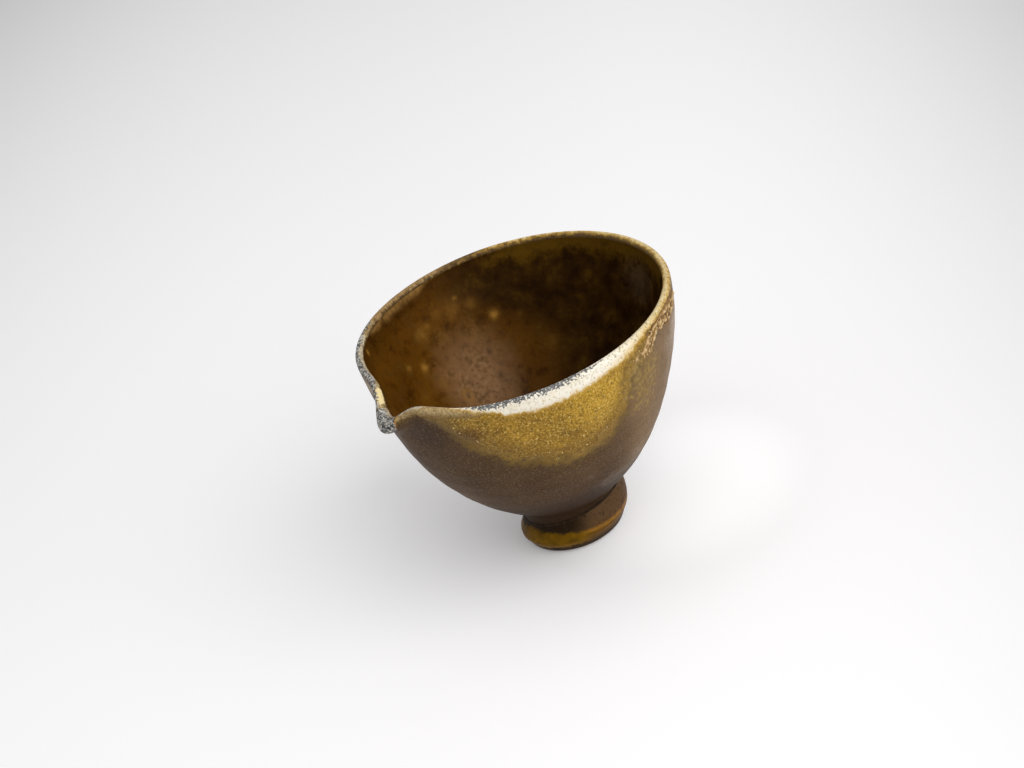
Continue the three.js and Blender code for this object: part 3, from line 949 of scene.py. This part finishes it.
def inside_finish():
    f = Finish("amber_inside", 0.42, 0.03, 0.1, 0.4)
    down, spots, pits, shade = f.fields("down spots pits shade")
    sheen, band, olive, veil = f.fields("sheen band olive veil")
    broad, middle, fine, dust = f.noises(INSIDE_NOISES)
    glass = f.mix("402404", "71470d", (broad * 1.6 + middle * 2.4 + fine * 0.8 - 1.9).clamp())
    glass = f.mix(glass, "351c03", ((middle - 0.48) * 5).clamp() * 0.6)
    # painted reflection: the sheen patch is painted a paler brown where the window is mirrored
    glass = f.mix(glass, "936b42", (sheen * 1.3 + (middle - 0.5) * 1.2 + (fine - 0.5) * 0.8).soft() * 0.75)
    black = f.mix("1c0e03", "3b2507", (middle * 2.6 - 0.9).clamp())
    # painted shade, partly a darker glaze: the right wall and the far side go nearly black for the wall's own
    # shadow
    glass = f.mix(glass, black, (shade + (broad - 0.5) * 0.8 + (middle - 0.5) * 0.5).soft() * 0.94)
    # painted reflection: lighter and darker flecks only inside the sheen patch
    glass = f.mix(glass, "6a4a2c", ((fine - 0.47) * 5).clamp() * sheen.clamp() * 0.6)
    glass = f.mix(glass, "a3825f", ((0.45 - fine) * 5).clamp() * sheen.clamp() * 0.5)
    glass = f.mix(glass, "2c1803", ((fine - 0.52) * 5 + (middle - 0.5) * 3).clamp() * 0.35)
    # painted shade: darker just under the lip
    glass = f.mix(glass, "341e04", ((9 - down + (middle - 0.5) * 6) / 9).soft() * 0.45)
    glass = f.mix(glass, "1e1003", f.dots(2.4, 0.16) * 0.5)
    glass = f.mix(glass, "8f6230", ((dust - 0.57) * 8).clamp() * 0.12 * (1.1 - shade))
    glass = f.mix(glass, "5e420c", (olive * 0.9 + (middle - 0.5) * 1.8 + (fine - 0.5)).soft() * 0.8)
    # painted reflection: a faint grey sheen under the far right lip
    glass = f.mix(glass, "5f4e3a", (veil + (middle - 0.5) * 1.4 + (fine - 0.5) * 0.6).soft() * 0.35)
    glass = f.mix(glass, "a2742f", (spots * (0.35 + fine * 1.3)).clamp() * 0.8)
    glass = f.mix(glass, "2a1808", pits.clamp() * 0.8)
    tan = f.mix("6a4b24", "b08549", (middle * 2.6 - 0.8 + (fine - 0.5)).clamp())
    glass = f.mix(glass, tan, ((band + (middle - 0.5) * 1.2) / 2.6 + 0.2).soft() * 0.75)
    thin = ((0.3 - down + (middle - 0.5) * 0.8 + (fine - 0.5)) / 0.5).soft()
    glass = f.mix(glass, "6f5220", thin * (0.7 - (band / 2).soft() * 0.6))
    height = middle * 0.5 + fine * 0.35 + spots * 0.4 - pits * 0.5
    return f.paint(glass, 0.38 + 0.2 * (fine - 0.5), height, 0.1, 0.2 * sheen.clamp())


INSIDE = inside_finish()

# %% [markdown]
# ## The bowl's wall
#
# On the real pot the bowl is thrown from one lump, with walls of even thickness. It could be a turned line
# with a Solidify modifier, but then the lip would be square and the spout stretched. Here the wall is one
# closed skin: up the outside, over the round lip and down the inside, where it is coarse because the lining
# covers it. The columns crowd toward the spout, where the curves are tightest.

# %% Throw the bowl
DEEPEST_ROW = 51.2  # millimetres down the inside, just above the middle of its bottom
CROWDING = 0.35
WALL_COLUMNS, LINING_COLUMNS = 460, 420


def crowded_angles(columns):
    turn = np.radians(np.linspace(-180, 180, columns, endpoint=False))
    return np.degrees(turn - CROWDING * np.sin(turn))


def throw_bowl():
    outer = np.linspace(COVE_DEPTH, 0, 130, endpoint=False)
    lip = -np.linspace(0, LIP_LENGTH, 30)
    inner = -LIP_LENGTH - np.linspace(1.0, DEEPEST_ROW, 30)
    arc, angle = np.meshgrid(np.concatenate([outer, lip, inner]), crowded_angles(WALL_COLUMNS), indexing="ij")
    points, _ = wall(angle, arc)
    points = np.concatenate([cove(points[0], angle[0]), points])
    below = COVE_DEPTH + np.linspace(6, 0.4, COVE_ROWS)
    arc = np.concatenate([below[:, None] + 0 * angle[:COVE_ROWS], arc])
    angle = np.concatenate([angle[:COVE_ROWS], angle])
    bottom = joint_points(0, 0.0)
    top = [0, 0, RIM_HEIGHT - INNER_DEPTH]
    piece = turned_skin("bowl_wall", points, zones(angle, arc), OUTSIDE, bottom, top)
    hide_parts("bowl")
    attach(piece, "root")


throw_bowl()

# %% [markdown]
# ## The lining
#
# The potter pours glaze into the bowl, swirls it and pours it out, and it melts to a glossy skin. It could
# be a second material on the wall's own faces, but glass has a thickness that rounds its edge. So it is a
# thin skin over the inside. Its top edge dips under the lip, so it fades into the rim without a step, and
# its back is sunk in the wall.

# %% Place the marks inside


def marks(angle, down, places, hollow=0.0):
    """Soft round marks on the inside; a hollow one is a ring of the given radius."""
    total = np.zeros(angle.shape)
    for middle, depth, radius, strength in places:
        turn = (angle - middle + 180) % 360 - 180
        away = np.hypot((44 - 0.45 * depth) * np.radians(turn), down - depth)
        width = radius * (1 - 0.55 * hollow)
        total = np.maximum(total, strength * bell((away - hollow * radius) / width))
    return total


def lining_fields(angle, arc):
    down = -arc - LIP_LENGTH
    turn = np.where(angle > 60, angle - 360, angle)
    lower = smooth((down - 7) / 22)
    shade = smooth((-84 - 24 * lower - turn) / (36 + 24 * lower)) * smooth((turn + 300) / 45)
    shade += (0.4 - shade) * smooth((down - 36) / 13)
    band = 4.2 * between(turn, -112, -40, 30) - 1.6 - down
    back = smooth((-112 - turn) / 22) * smooth((turn + 225) / 20)
    return {
        "down": down,
        "spots": np.maximum(marks(angle, down, PALE_SPOTS), marks(angle, down, RINGS, 1.0)),
        "pits": marks(angle, down, PITS),
        "shade": shade,
        # painted reflection: the patch where the window is mirrored deep in the bowl
        "sheen": np.maximum(0, patch(turn, down, -92, 30, 30, 18)),
        "band": band,
        "olive": 1.1 * back * smooth((8 - down) / 8),
        # painted reflection: a faint grey sheen under the far right lip
        "veil": patch(turn, down, -190, 9, 14, 9),
    }


print("marks inside:", len(PALE_SPOTS), "pale spots,", len(PITS), "pits and", len(RINGS), "ring")

# %% Line the bowl
LINING_MM, LINING_BACK_MM = 0.4, 0.35
OUT_OF_SIGHT = slice(None, None, -3)  # every third row of the back, from the bottom up


def line_bowl():
    thin = -np.linspace(LIP_LENGTH - 0.9, LIP_LENGTH + 3, 20, endpoint=False)
    deep = -LIP_LENGTH - np.linspace(3, DEEPEST_ROW, 110)
    arc, angle = np.meshgrid(np.concatenate([thin, deep]), crowded_angles(LINING_COLUMNS), indexing="ij")
    base, normals = wall(angle, arc)
    thickness = -0.06 + LINING_MM * smooth((-arc - LIP_LENGTH + 1.0) / 4.5)
    front = base + normals * thickness[..., None]
    back = base - normals * LINING_BACK_MM
    points = np.concatenate([back[OUT_OF_SIGHT], front])
    fields = lining_fields(angle, arc)
    fields = {key: np.concatenate([v[OUT_OF_SIGHT], v]) for key, v in fields.items()}
    bottom = [0, 0, RIM_HEIGHT - INNER_DEPTH - 0.3]
    top = [0, 0, RIM_HEIGHT - INNER_DEPTH + 0.34]
    piece = turned_skin("bowl_lining", points, fields, INSIDE, bottom, top)
    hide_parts("lining_glaze")
    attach(piece, "root")


line_bowl()

# %% [markdown]
# ## The sheet of ash glaze
#
# Wood ash that lands on hot clay melts and runs down, and it stops in a hem. A boolean could cut the hem
# out of a shell, but it leaves a hard step. So the sheet is a patch whose thickness grows slowly from
# nothing at the hem to a fifth of a millimetre. Past the hem its front sinks below the clay, so the border
# is where two surfaces cross and needs no cut edge.

# %% Pour the ash sheet
SHEET_MM, SHEET_BACK_MM = 0.27, 0.45


def sheet_thickness(angle, arc, base):
    hem = hem_depth(angle) - arc + 1.6 * lumps(base, 9, 5) + 0.7 * lumps(base, 3, 6)
    thickness = -0.06 + SHEET_MM * smooth((hem + 0.6) / 7) * smooth((arc - 0.2) / 1.6)
    return thickness + 0.04 * lumps(base, 2.2, 7) * smooth(hem / 3)


def pour_ash_sheet():
    arc, angle = np.meshgrid(np.linspace(31, 0.0, 150), np.linspace(8, 126, 330), indexing="ij")
    base, normals = wall(angle, arc, False)
    front = base + normals * sheet_thickness(angle, arc, base)[..., None]
    back = base - normals * SHEET_BACK_MM
    piece = patch_skin("ash_glaze_sheet", front, back, zones(angle, arc), OUTSIDE)
    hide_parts("ash_glaze_run")
    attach(piece, "root")


pour_ash_sheet()

# %% [markdown]
# ## Specks of ash
#
# Late ash landed on the sheet and did not spread out, so it stands on it as tiny pale beads. They follow a
# rule, so geometry nodes scatter them: points on a small copy of the sheet, only where the golden glass is
# thick, with a bead of random size on each, flattened along the surface's normal. The sizes are inputs of
# the node group, so they can be changed in one place.

# %% Build the bead scatter
BEAD_SIZES = {
    "Beads per mm2": 0.22, "Smallest mm": 0.07, "Largest mm": 0.25, "Flatness": 0.5, "Least glass mm": 2.5,
}
BEAD_SEGMENTS, BEAD_RINGS = 8, 5
PER_SQUARE_METRE = 1e6


def speck_finish():
    f = Finish("ash_specks", 0.45, 0.2)
    colour = f.mix("7d6230", "e6cd86", (f.noise(1.5, 3) * 4 - 1.4).clamp())
    return f.paint(colour, 0.4 + 0.2 * f.noise(0.3, 2), f.noise(0.15, 2), 0.02)


def bead_tree(finish):
    tree = bpy.data.node_groups.new("scattered_beads", "GeometryNodeTree")
    face = tree.interface
    face.new_socket("Geometry", in_out="INPUT", socket_type="NodeSocketGeometry")
    for name in BEAD_SIZES:
        face.new_socket(name, in_out="INPUT", socket_type="NodeSocketFloat")
    face.new_socket("Geometry", in_out="OUTPUT", socket_type="NodeSocketGeometry")

    def add(kind, settings, inputs):
        made = tree.nodes.new(kind)
        for key, value in settings.items():
            setattr(made, key, value)
        for key, value in inputs.items():
            if isinstance(value, bpy.types.NodeSocket):
                tree.links.new(value, made.inputs[key])
            else:
                made.inputs[key].default_value = value
        return made.outputs

    def sum_of(operation, a, b):
        return add("ShaderNodeMath", {"operation": operation}, {0: a, 1: b})[0]

    given = add("NodeGroupInput", {}, {})
    glass = add("GeometryNodeInputNamedAttribute", {"data_type": "FLOAT"}, {"Name": "gold"})["Attribute"]
    places = {"Mesh": given["Geometry"], "Seed": 7}
    places["Selection"] = sum_of("GREATER_THAN", glass, given["Least glass mm"])
    places["Density"] = sum_of("MULTIPLY", given["Beads per mm2"], PER_SQUARE_METRE)
    points = add("GeometryNodeDistributePointsOnFaces", {"distribute_method": "RANDOM"}, places)
    lot = add("FunctionNodeRandomValue", {"data_type": "FLOAT"}, {"Seed": 3})["Value"]
    spread = sum_of("SUBTRACT", given["Largest mm"], given["Smallest mm"])
    radius = sum_of("ADD", given["Smallest mm"], sum_of("MULTIPLY", sum_of("POWER", lot, 3.0), spread))
    radius = sum_of("MULTIPLY", radius, MM)
    flat = sum_of("MULTIPLY", radius, given["Flatness"])
    scale = add("ShaderNodeCombineXYZ", {}, {"X": radius, "Y": radius, "Z": flat})[0]
    shape = {"Segments": BEAD_SEGMENTS, "Rings": BEAD_RINGS, "Radius": 1.0}
    bead = add("GeometryNodeMeshUVSphere", {}, shape)["Mesh"]
    placed = {"Points": points["Points"], "Instance": bead, "Rotation": points["Rotation"], "Scale": scale}
    beads = add("GeometryNodeInstanceOnPoints", {}, placed)[0]
    real = add("GeometryNodeRealizeInstances", {}, {"Geometry": beads})[0]
    painted = add("GeometryNodeSetMaterial", {}, {"Geometry": real, "Material": finish})[0]
    add("NodeGroupOutput", {}, {"Geometry": painted})
    print("the group has", len(tree.nodes), "nodes")
    return tree


# %% Scatter the ash specks


def scatter_specks():
    finish = speck_finish()
    arc, angle = np.meshgrid(np.linspace(27, 0.8, 110), np.linspace(18, 120, 300), indexing="ij")
    base, normals = wall(angle, arc, False)
    points = base + normals * sheet_thickness(angle, arc, base)[..., None]
    faces = grid_faces(*arc.shape, 0, False, False)
    fields = {"gold": zones(angle, arc)["gold"]}
    piece = make_piece("ash_specks", points.reshape(-1, 3), faces, fields, finish)
    beads = piece.modifiers.new("beads", "NODES")
    beads.node_group = bead_tree(finish)
    for item in beads.node_group.interface.items_tree:
        if item.name in BEAD_SIZES:
            beads[item.identifier] = BEAD_SIZES[item.name]
    grid = piece.data
    evaluated = piece.evaluated_get(bpy.context.evaluated_depsgraph_get())
    piece.data = bpy.data.meshes.new_from_object(evaluated)
    piece.modifiers.clear()
    bpy.data.meshes.remove(grid)
    piece.data.polygons.foreach_set("use_smooth", [True] * len(piece.data.polygons))
    print("beads of ash:", len(piece.data.vertices) // (BEAD_SEGMENTS * (BEAD_RINGS - 1) + 2))
    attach(piece, "root")


scatter_specks()

# %% [markdown]
# ## The crust
#
# At the right, half melted ash stuck to the wall in thin wrinkled folds. They could be sculpted by hand,
# but a rule can be read and changed: each fold follows a short line of places, given as angle from the
# spout and depth below the lip. A point's height is a bell curve of its distance from the nearest line, and
# away from the lines the crust stays sunk in the wall.

# %% Draw the folds
FOLDS = [
    [(134, 1.7), (128, 1.5), (124.5, 1.4), (120, 0.9), (117.5, 0.6)],
    [(131, 2.7), (126, 3.1), (122.5, 3.7), (119.5, 3.2), (117, 2.2), (113.8, 2.2)],
    [(124.5, 1.4), (122, 2.3), (119.5, 3.2)],
    [(117.5, 0.6), (113.5, 1.0), (110.5, 2.1), (108.5, 3.3), (106.5, 5.0), (102.5, 5.4), (98, 4.7)],
    [(113.5, 1.0), (110, 0.8), (107, 1.6), (104, 2.6), (102, 4.0), (98, 4.7)],
    [(107, 1.7), (106.5, 3.0), (104, 3.7), (102, 4.0)],
]
FAR_AWAY = 1e9


def distance_to_line(x, y, line):
    """The distance of each point from a line through the given corners."""
    nearest = np.full(x.shape, FAR_AWAY)
    for (ax, ay), (bx, by) in zip(line, line[1:]):
        share = ((x - ax) * (bx - ax) + (y - ay) * (by - ay)) / ((bx - ax) ** 2 + (by - ay) ** 2)
        share = np.clip(share, 0, 1)
        nearest = np.minimum(nearest, np.hypot(x - ax - share * (bx - ax), y - ay - share * (by - ay)))
    return nearest


print("folds in the crust:", len(FOLDS))

# %% Stick on the crust
CRUST_BACK_MM = 0.5


def crust_finish():
    f = Finish("half_melted_ash", 0.6, 0.2)
    middle, fine, dust = f.noises([(3, 3), (1, 3), (0.4, 2)])
    crest, = f.fields("crest")
    colour = f.mix("4a3417", "8c6a3c", (middle * 2.4 - 0.7).clamp())
    colour = f.mix(colour, "bd9865", (crest * 2.2 - 0.45 + (fine - 0.5) * 1.4).clamp())
    colour = f.mix(colour, "e2cc9f", ((crest - 0.7) * 4 + (dust - 0.5) * 3).clamp() * 0.7)
    colour = f.mix(colour, "3a2a18", ((fine - 0.6) * 8).clamp() * 0.7)
    return f.paint(colour, 0.55 + 0.2 * dust, fine * 0.5 + dust * 0.5, 0.15)


def stick_crust():
    arc, angle = np.meshgrid(np.linspace(8, -0.4, 120), np.linspace(94, 137, 406), indexing="ij")
    base, normals = wall(angle, arc, False)
    x, y = angle * RIM_MM_PER_DEGREE + 0.5 * lumps(base, 2.2, 8), arc + 0.4 * lumps(base, 1.8, 9)
    lines = [[(a * RIM_MM_PER_DEGREE, depth) for a, depth in fold] for fold in FOLDS]
    away = np.min([distance_to_line(x, y, line) for line in lines], axis=0)
    mound = bell(away / (1.15 + 0.6 * lumps(base, 2.0, 10)))
    wrinkles = np.clip(1.1 - 2.4 * np.abs(lumps(base, 1.1, 15)), 0, 1)
    broken = np.clip(0.6 + 1.3 * lumps(base, 1.4, 17), 0.1, 1)
    crest = np.maximum(broken * bell(away / 0.5), mound * wrinkles) * (0.9 + 0.7 * lumps(base, 0.8, 16))
    thickness = -0.1 + 0.16 * smooth(mound * 1.6) + 0.45 * crest
    front = base + normals * thickness[..., None]
    back = base - normals * CRUST_BACK_MM
    piece = patch_skin("ash_crust_folds", front, back, {"crest": crest}, crust_finish())
    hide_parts("ash_crust")
    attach(piece, "root")


stick_crust()

# %% [markdown]
# ## The foot
#
# The foot is turned: a flat standing ring round a carved recess, a bevel, a full belly and a waist. A
# cylinder could be cut and bevelled, but a turned piece is one line swept round the axis, so a line is all
# it takes. It is smoothed a little, as a wet sponge smooths the clay, and the foot then leans as the bowl
# sits on it.

# %% Draw the foot's line
FOOT_HEIGHT, RECESS_HEIGHT = 10.1, 5.0
FOOT_RING_INNER, FOOT_RING_OUTER = 9.8, 12.8
FOOT_BELLY_RADIUS, FOOT_WAIST_RADIUS = 15.8, 14.6
FOOT_COLUMNS, SPONGE_PASSES = 360, 6


def curve(points, count):
    """Points along a smooth curve through the given corners."""
    points = np.array(points, float)
    at = np.concatenate([[0], np.cumsum(np.linalg.norm(np.diff(points, axis=0), axis=1))])
    where = np.linspace(0, at[-1], count)
    line = np.stack([np.interp(where, at, points[:, i]) for i in (0, 1)], axis=-1)
    for _ in range(SPONGE_PASSES):
        line[1:-1] = (line[:-2] + 2 * line[1:-1] + line[2:]) / 4
    return line


def foot_outline():
    inner, outer = FOOT_RING_INNER, FOOT_RING_OUTER
    belly, waist = FOOT_BELLY_RADIUS, FOOT_WAIST_RADIUS
    under = curve([(2, RECESS_HEIGHT), (7.4, 4.7), (9.0, 4.0), (9.4, 2.7), (inner, 0.25)], 30)
    ring = np.array([(inner + 0.1, 0.02), (inner + 0.4, 0), (outer - 0.4, 0), (outer - 0.1, 0.02)])
    side = curve([
        (outer + 0.1, 0.1), (outer + 1.3, 0.9), (outer + 2.1, 2.4), (belly - 0.2, 3.8), (belly + 0.05, 5.2),
        (belly - 0.1, 6.4), (waist + 0.8, 7.9), (waist + 0.3, 9.0), (waist, FOOT_HEIGHT),
    ], 70)
    return np.concatenate([under, ring, side])


def leaned(points):
    """Lean the foot; the recess is level with the ring, and above the foot's top all moves alike."""
    inner = np.hypot(points[..., 0], points[..., 1]) < FOOT_RING_INNER + 0.01
    carved = inner & (points[..., 2] < RECESS_HEIGHT + 0.01)
    return seated(points, np.where(carved, 0, np.minimum(1, points[..., 2] / FOOT_HEIGHT)))


def turn_rings(outline, columns):
    turn = np.linspace(0, 2 * np.pi, columns, endpoint=False)
    radius, height = outline[:, :1], outline[:, 1:]
    grid = np.stack([radius * np.sin(turn), -radius * np.cos(turn), height + 0 * turn], axis=-1)
    angle = np.degrees(turn)[None, :] + 0 * radius
    return grid, np.where(angle > 180, angle - 360, angle)


print("the foot is", round(2 * foot_outline()[:, 0].max(), 1), "mm wide and", FOOT_HEIGHT, "mm high")

# %% [markdown]
# ## The foot's finish
#
# The foot is dark clay, lit orange at the right, with a bare band above the floor where the potter wiped
# it. That band is also painted darker, as painted shade where the foot meets the floor. Ash melted on the
# foot in an ochre roll: tall on the side of the sheet, a thin line at the right. The roll's border is a field
# as on the bowl, so clay and glass share one finish.

# %% Mix the foot's finish
ROLL_BOTTOM = 2.4
FOOT_NOISES = [(12, 2), (4, 3), (1.1, 3), (0.45, 2)]


def foot_finish():
    f = Finish("turned_foot", 0.5, 0.05)
    roll, height, side = f.fields("roll height side")
    broad, middle, fine, dust = f.noises(FOOT_NOISES)
    clay = f.mix("2a1c0e", "5e452c", (side + (broad - 0.5) * 0.5).soft())
    clay = f.mix(clay, "1c120a", ((fine - 0.52) * 6).clamp() * 0.5)
    clay = f.mix(clay, "8a7258", ((dust - 0.6) * 7).clamp() * 0.25)
    # painted shade: the wiped band is bare clay, painted darker for the shade next to the floor
    bare = f.mix("2b2418", "4a3a26", (fine * 2 - 0.5).clamp())
    clay = f.mix(clay, bare, ((2.6 - height) / 0.8).soft())
    clay = f.mix(clay, "8a6a4c", ((0.35 - height) / 0.2).clamp())
    ochre = f.mix("5f4300", "8a6204", (middle * 2.6 - 0.8).clamp())
    ochre = f.mix(ochre, "946a12", ((4.6 - height + (fine - 0.5)) / 1.6).soft() * 0.5)
    line = (1 - ((roll + (fine - 0.5) * 0.5 - 0.3) / 1.1).size()).soft() * ((height - 3.2) / 0.8).soft()
    ochre = f.mix(ochre, f.mix("664618", "ac7524", line), (side * 1.3 - 0.2).soft() * 0.85)
    ochre = f.mix(ochre, "2c2209", ((middle - 0.54) * 7 + (fine - 0.5) * 3).clamp() * 0.5)
    mask = ((roll + (middle - 0.5) * 2.2 + (fine - 0.5) * 1.6) / 1.2 + 0.3).soft()
    colour = f.mix(clay, ochre, mask)
    return f.paint(colour, 0.5 - 0.12 * mask, middle * 0.4 + fine * 0.4, 0.12, 0.04 * mask)


def into_roll(angle, height):
    """How far a place is inside the glaze roll, from the nearer of its two borders."""
    top = 4.8 + 4.3 * bell((angle + 4) / 62)
    return np.minimum(top - height, height - ROLL_BOTTOM)


def foot_side(angle):
    """Share of the lit, orange side of the foot, which is at the right."""
    return smooth((angle - 42) / 40) * (1 - smooth((angle - 150) / 30))


FOOT = foot_finish()

# %% Turn the foot


def turn_foot():
    grid, angle = turn_rings(foot_outline(), FOOT_COLUMNS)
    normals = grid_normals(grid, True)
    uneven = (0.12 * lumps(grid, 14, 11) + 0.04 * lumps(grid, 4, 12)) * smooth(grid[..., 2] / 1.5)
    points = leaned(grid + normals * uneven[..., None])
    roll = into_roll(angle, grid[..., 2])
    roll = np.where(np.hypot(grid[..., 0], grid[..., 1]) < FOOT_RING_OUTER - 0.3, -5, roll)
    fields = {"roll": roll, "height": grid[..., 2], "side": foot_side(angle)}
    bottom, top = (leaned(np.array([0, 0, z])) for z in (RECESS_HEIGHT, FOOT_HEIGHT))
    piece = turned_skin("foot_turned", points, fields, FOOT, bottom, top)
    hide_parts("pedestal_foot")
    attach(piece, "root")


turn_foot()

# %% [markdown]
# ## The roll of glass
#
# Glass that ran down the foot stopped above the wiped band and stands out as a low roll. It is the foot's
# own side, raised by up to 0.3 mm inside the roll's borders and sunk outside them, so it fits without a
# gap.

# %% Roll the foot glaze


def roll_foot_glaze():
    outline = foot_outline()
    keep = outline[(outline[:, 0] > FOOT_RING_OUTER + 0.3) & (outline[:, 1] < 9.8) & (outline[:, 1] > 0.4)]
    grid, angle = turn_rings(keep, FOOT_COLUMNS)
    normals = grid_normals(grid, True)
    height = grid[..., 2]
    roll = into_roll(angle, height)
    thickness = -0.16 + 0.46 * smooth((roll + 0.5 * lumps(grid, 5, 13) + 1.2) / 3.6)
    front = grid + normals * thickness[..., None]
    back = grid - normals * 0.6
    points = leaned(np.concatenate([front, back[::-1]]))
    fields = {"roll": roll, "height": height, "side": foot_side(angle)}
    fields = {key: np.concatenate([v, v[::-1]]) for key, v in fields.items()}
    piece = hoop_skin("foot_glaze", points, fields, FOOT)
    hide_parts("foot_glaze_roll")
    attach(piece, "root")


roll_foot_glaze()

# %% [markdown]
# ## The joint
#
# Slip squeezed out of the joint lies as an uneven bead in the crease between foot and bowl. It is dark,
# because little ash reached it, and it is painted darker still as painted shade in the crease. A torus
# would be too even, so the bead is a ring whose thickness swells with noise.

# %% Lute the joint
BEAD_COLUMNS = 240


def slip_finish():
    f = Finish("joint_slip", 0.65, 0.1)
    fine, dust = f.noises([(1.4, 3), (0.5, 2)])
    # partly painted shade: dark slip that little ash reached, made darker for the shade in the crease
    colour = f.mix("1e140b", "3a2a18", (fine * 2.4 - 0.7).clamp())
    return f.paint(colour, 0.6 + 0.15 * dust, fine * 0.6 + dust * 0.3, 0.15)


def lute_joint():
    around = np.linspace(0, 2 * np.pi, 16, endpoint=False)
    radius, height = BOWL_BASE_RADIUS - 0.35, (FOOT_HEIGHT + JOINT_HEIGHT) / 2
    ring = np.stack([radius + 0.6 * np.cos(around), height + 0.55 * np.sin(around)], axis=-1)
    grid, _ = turn_rings(ring, BEAD_COLUMNS)
    centre, _ = turn_rings(np.array([(radius, height)]), BEAD_COLUMNS)
    swell = 1 + 0.25 * lumps(grid, 3.5, 14)[..., None]
    points = seated(centre + (grid - centre) * swell, 1.0)
    piece = hoop_skin("slip_bead", points, {}, slip_finish())
    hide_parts("joining_slip")
    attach(piece, "root")


lute_joint()

# %% [markdown]
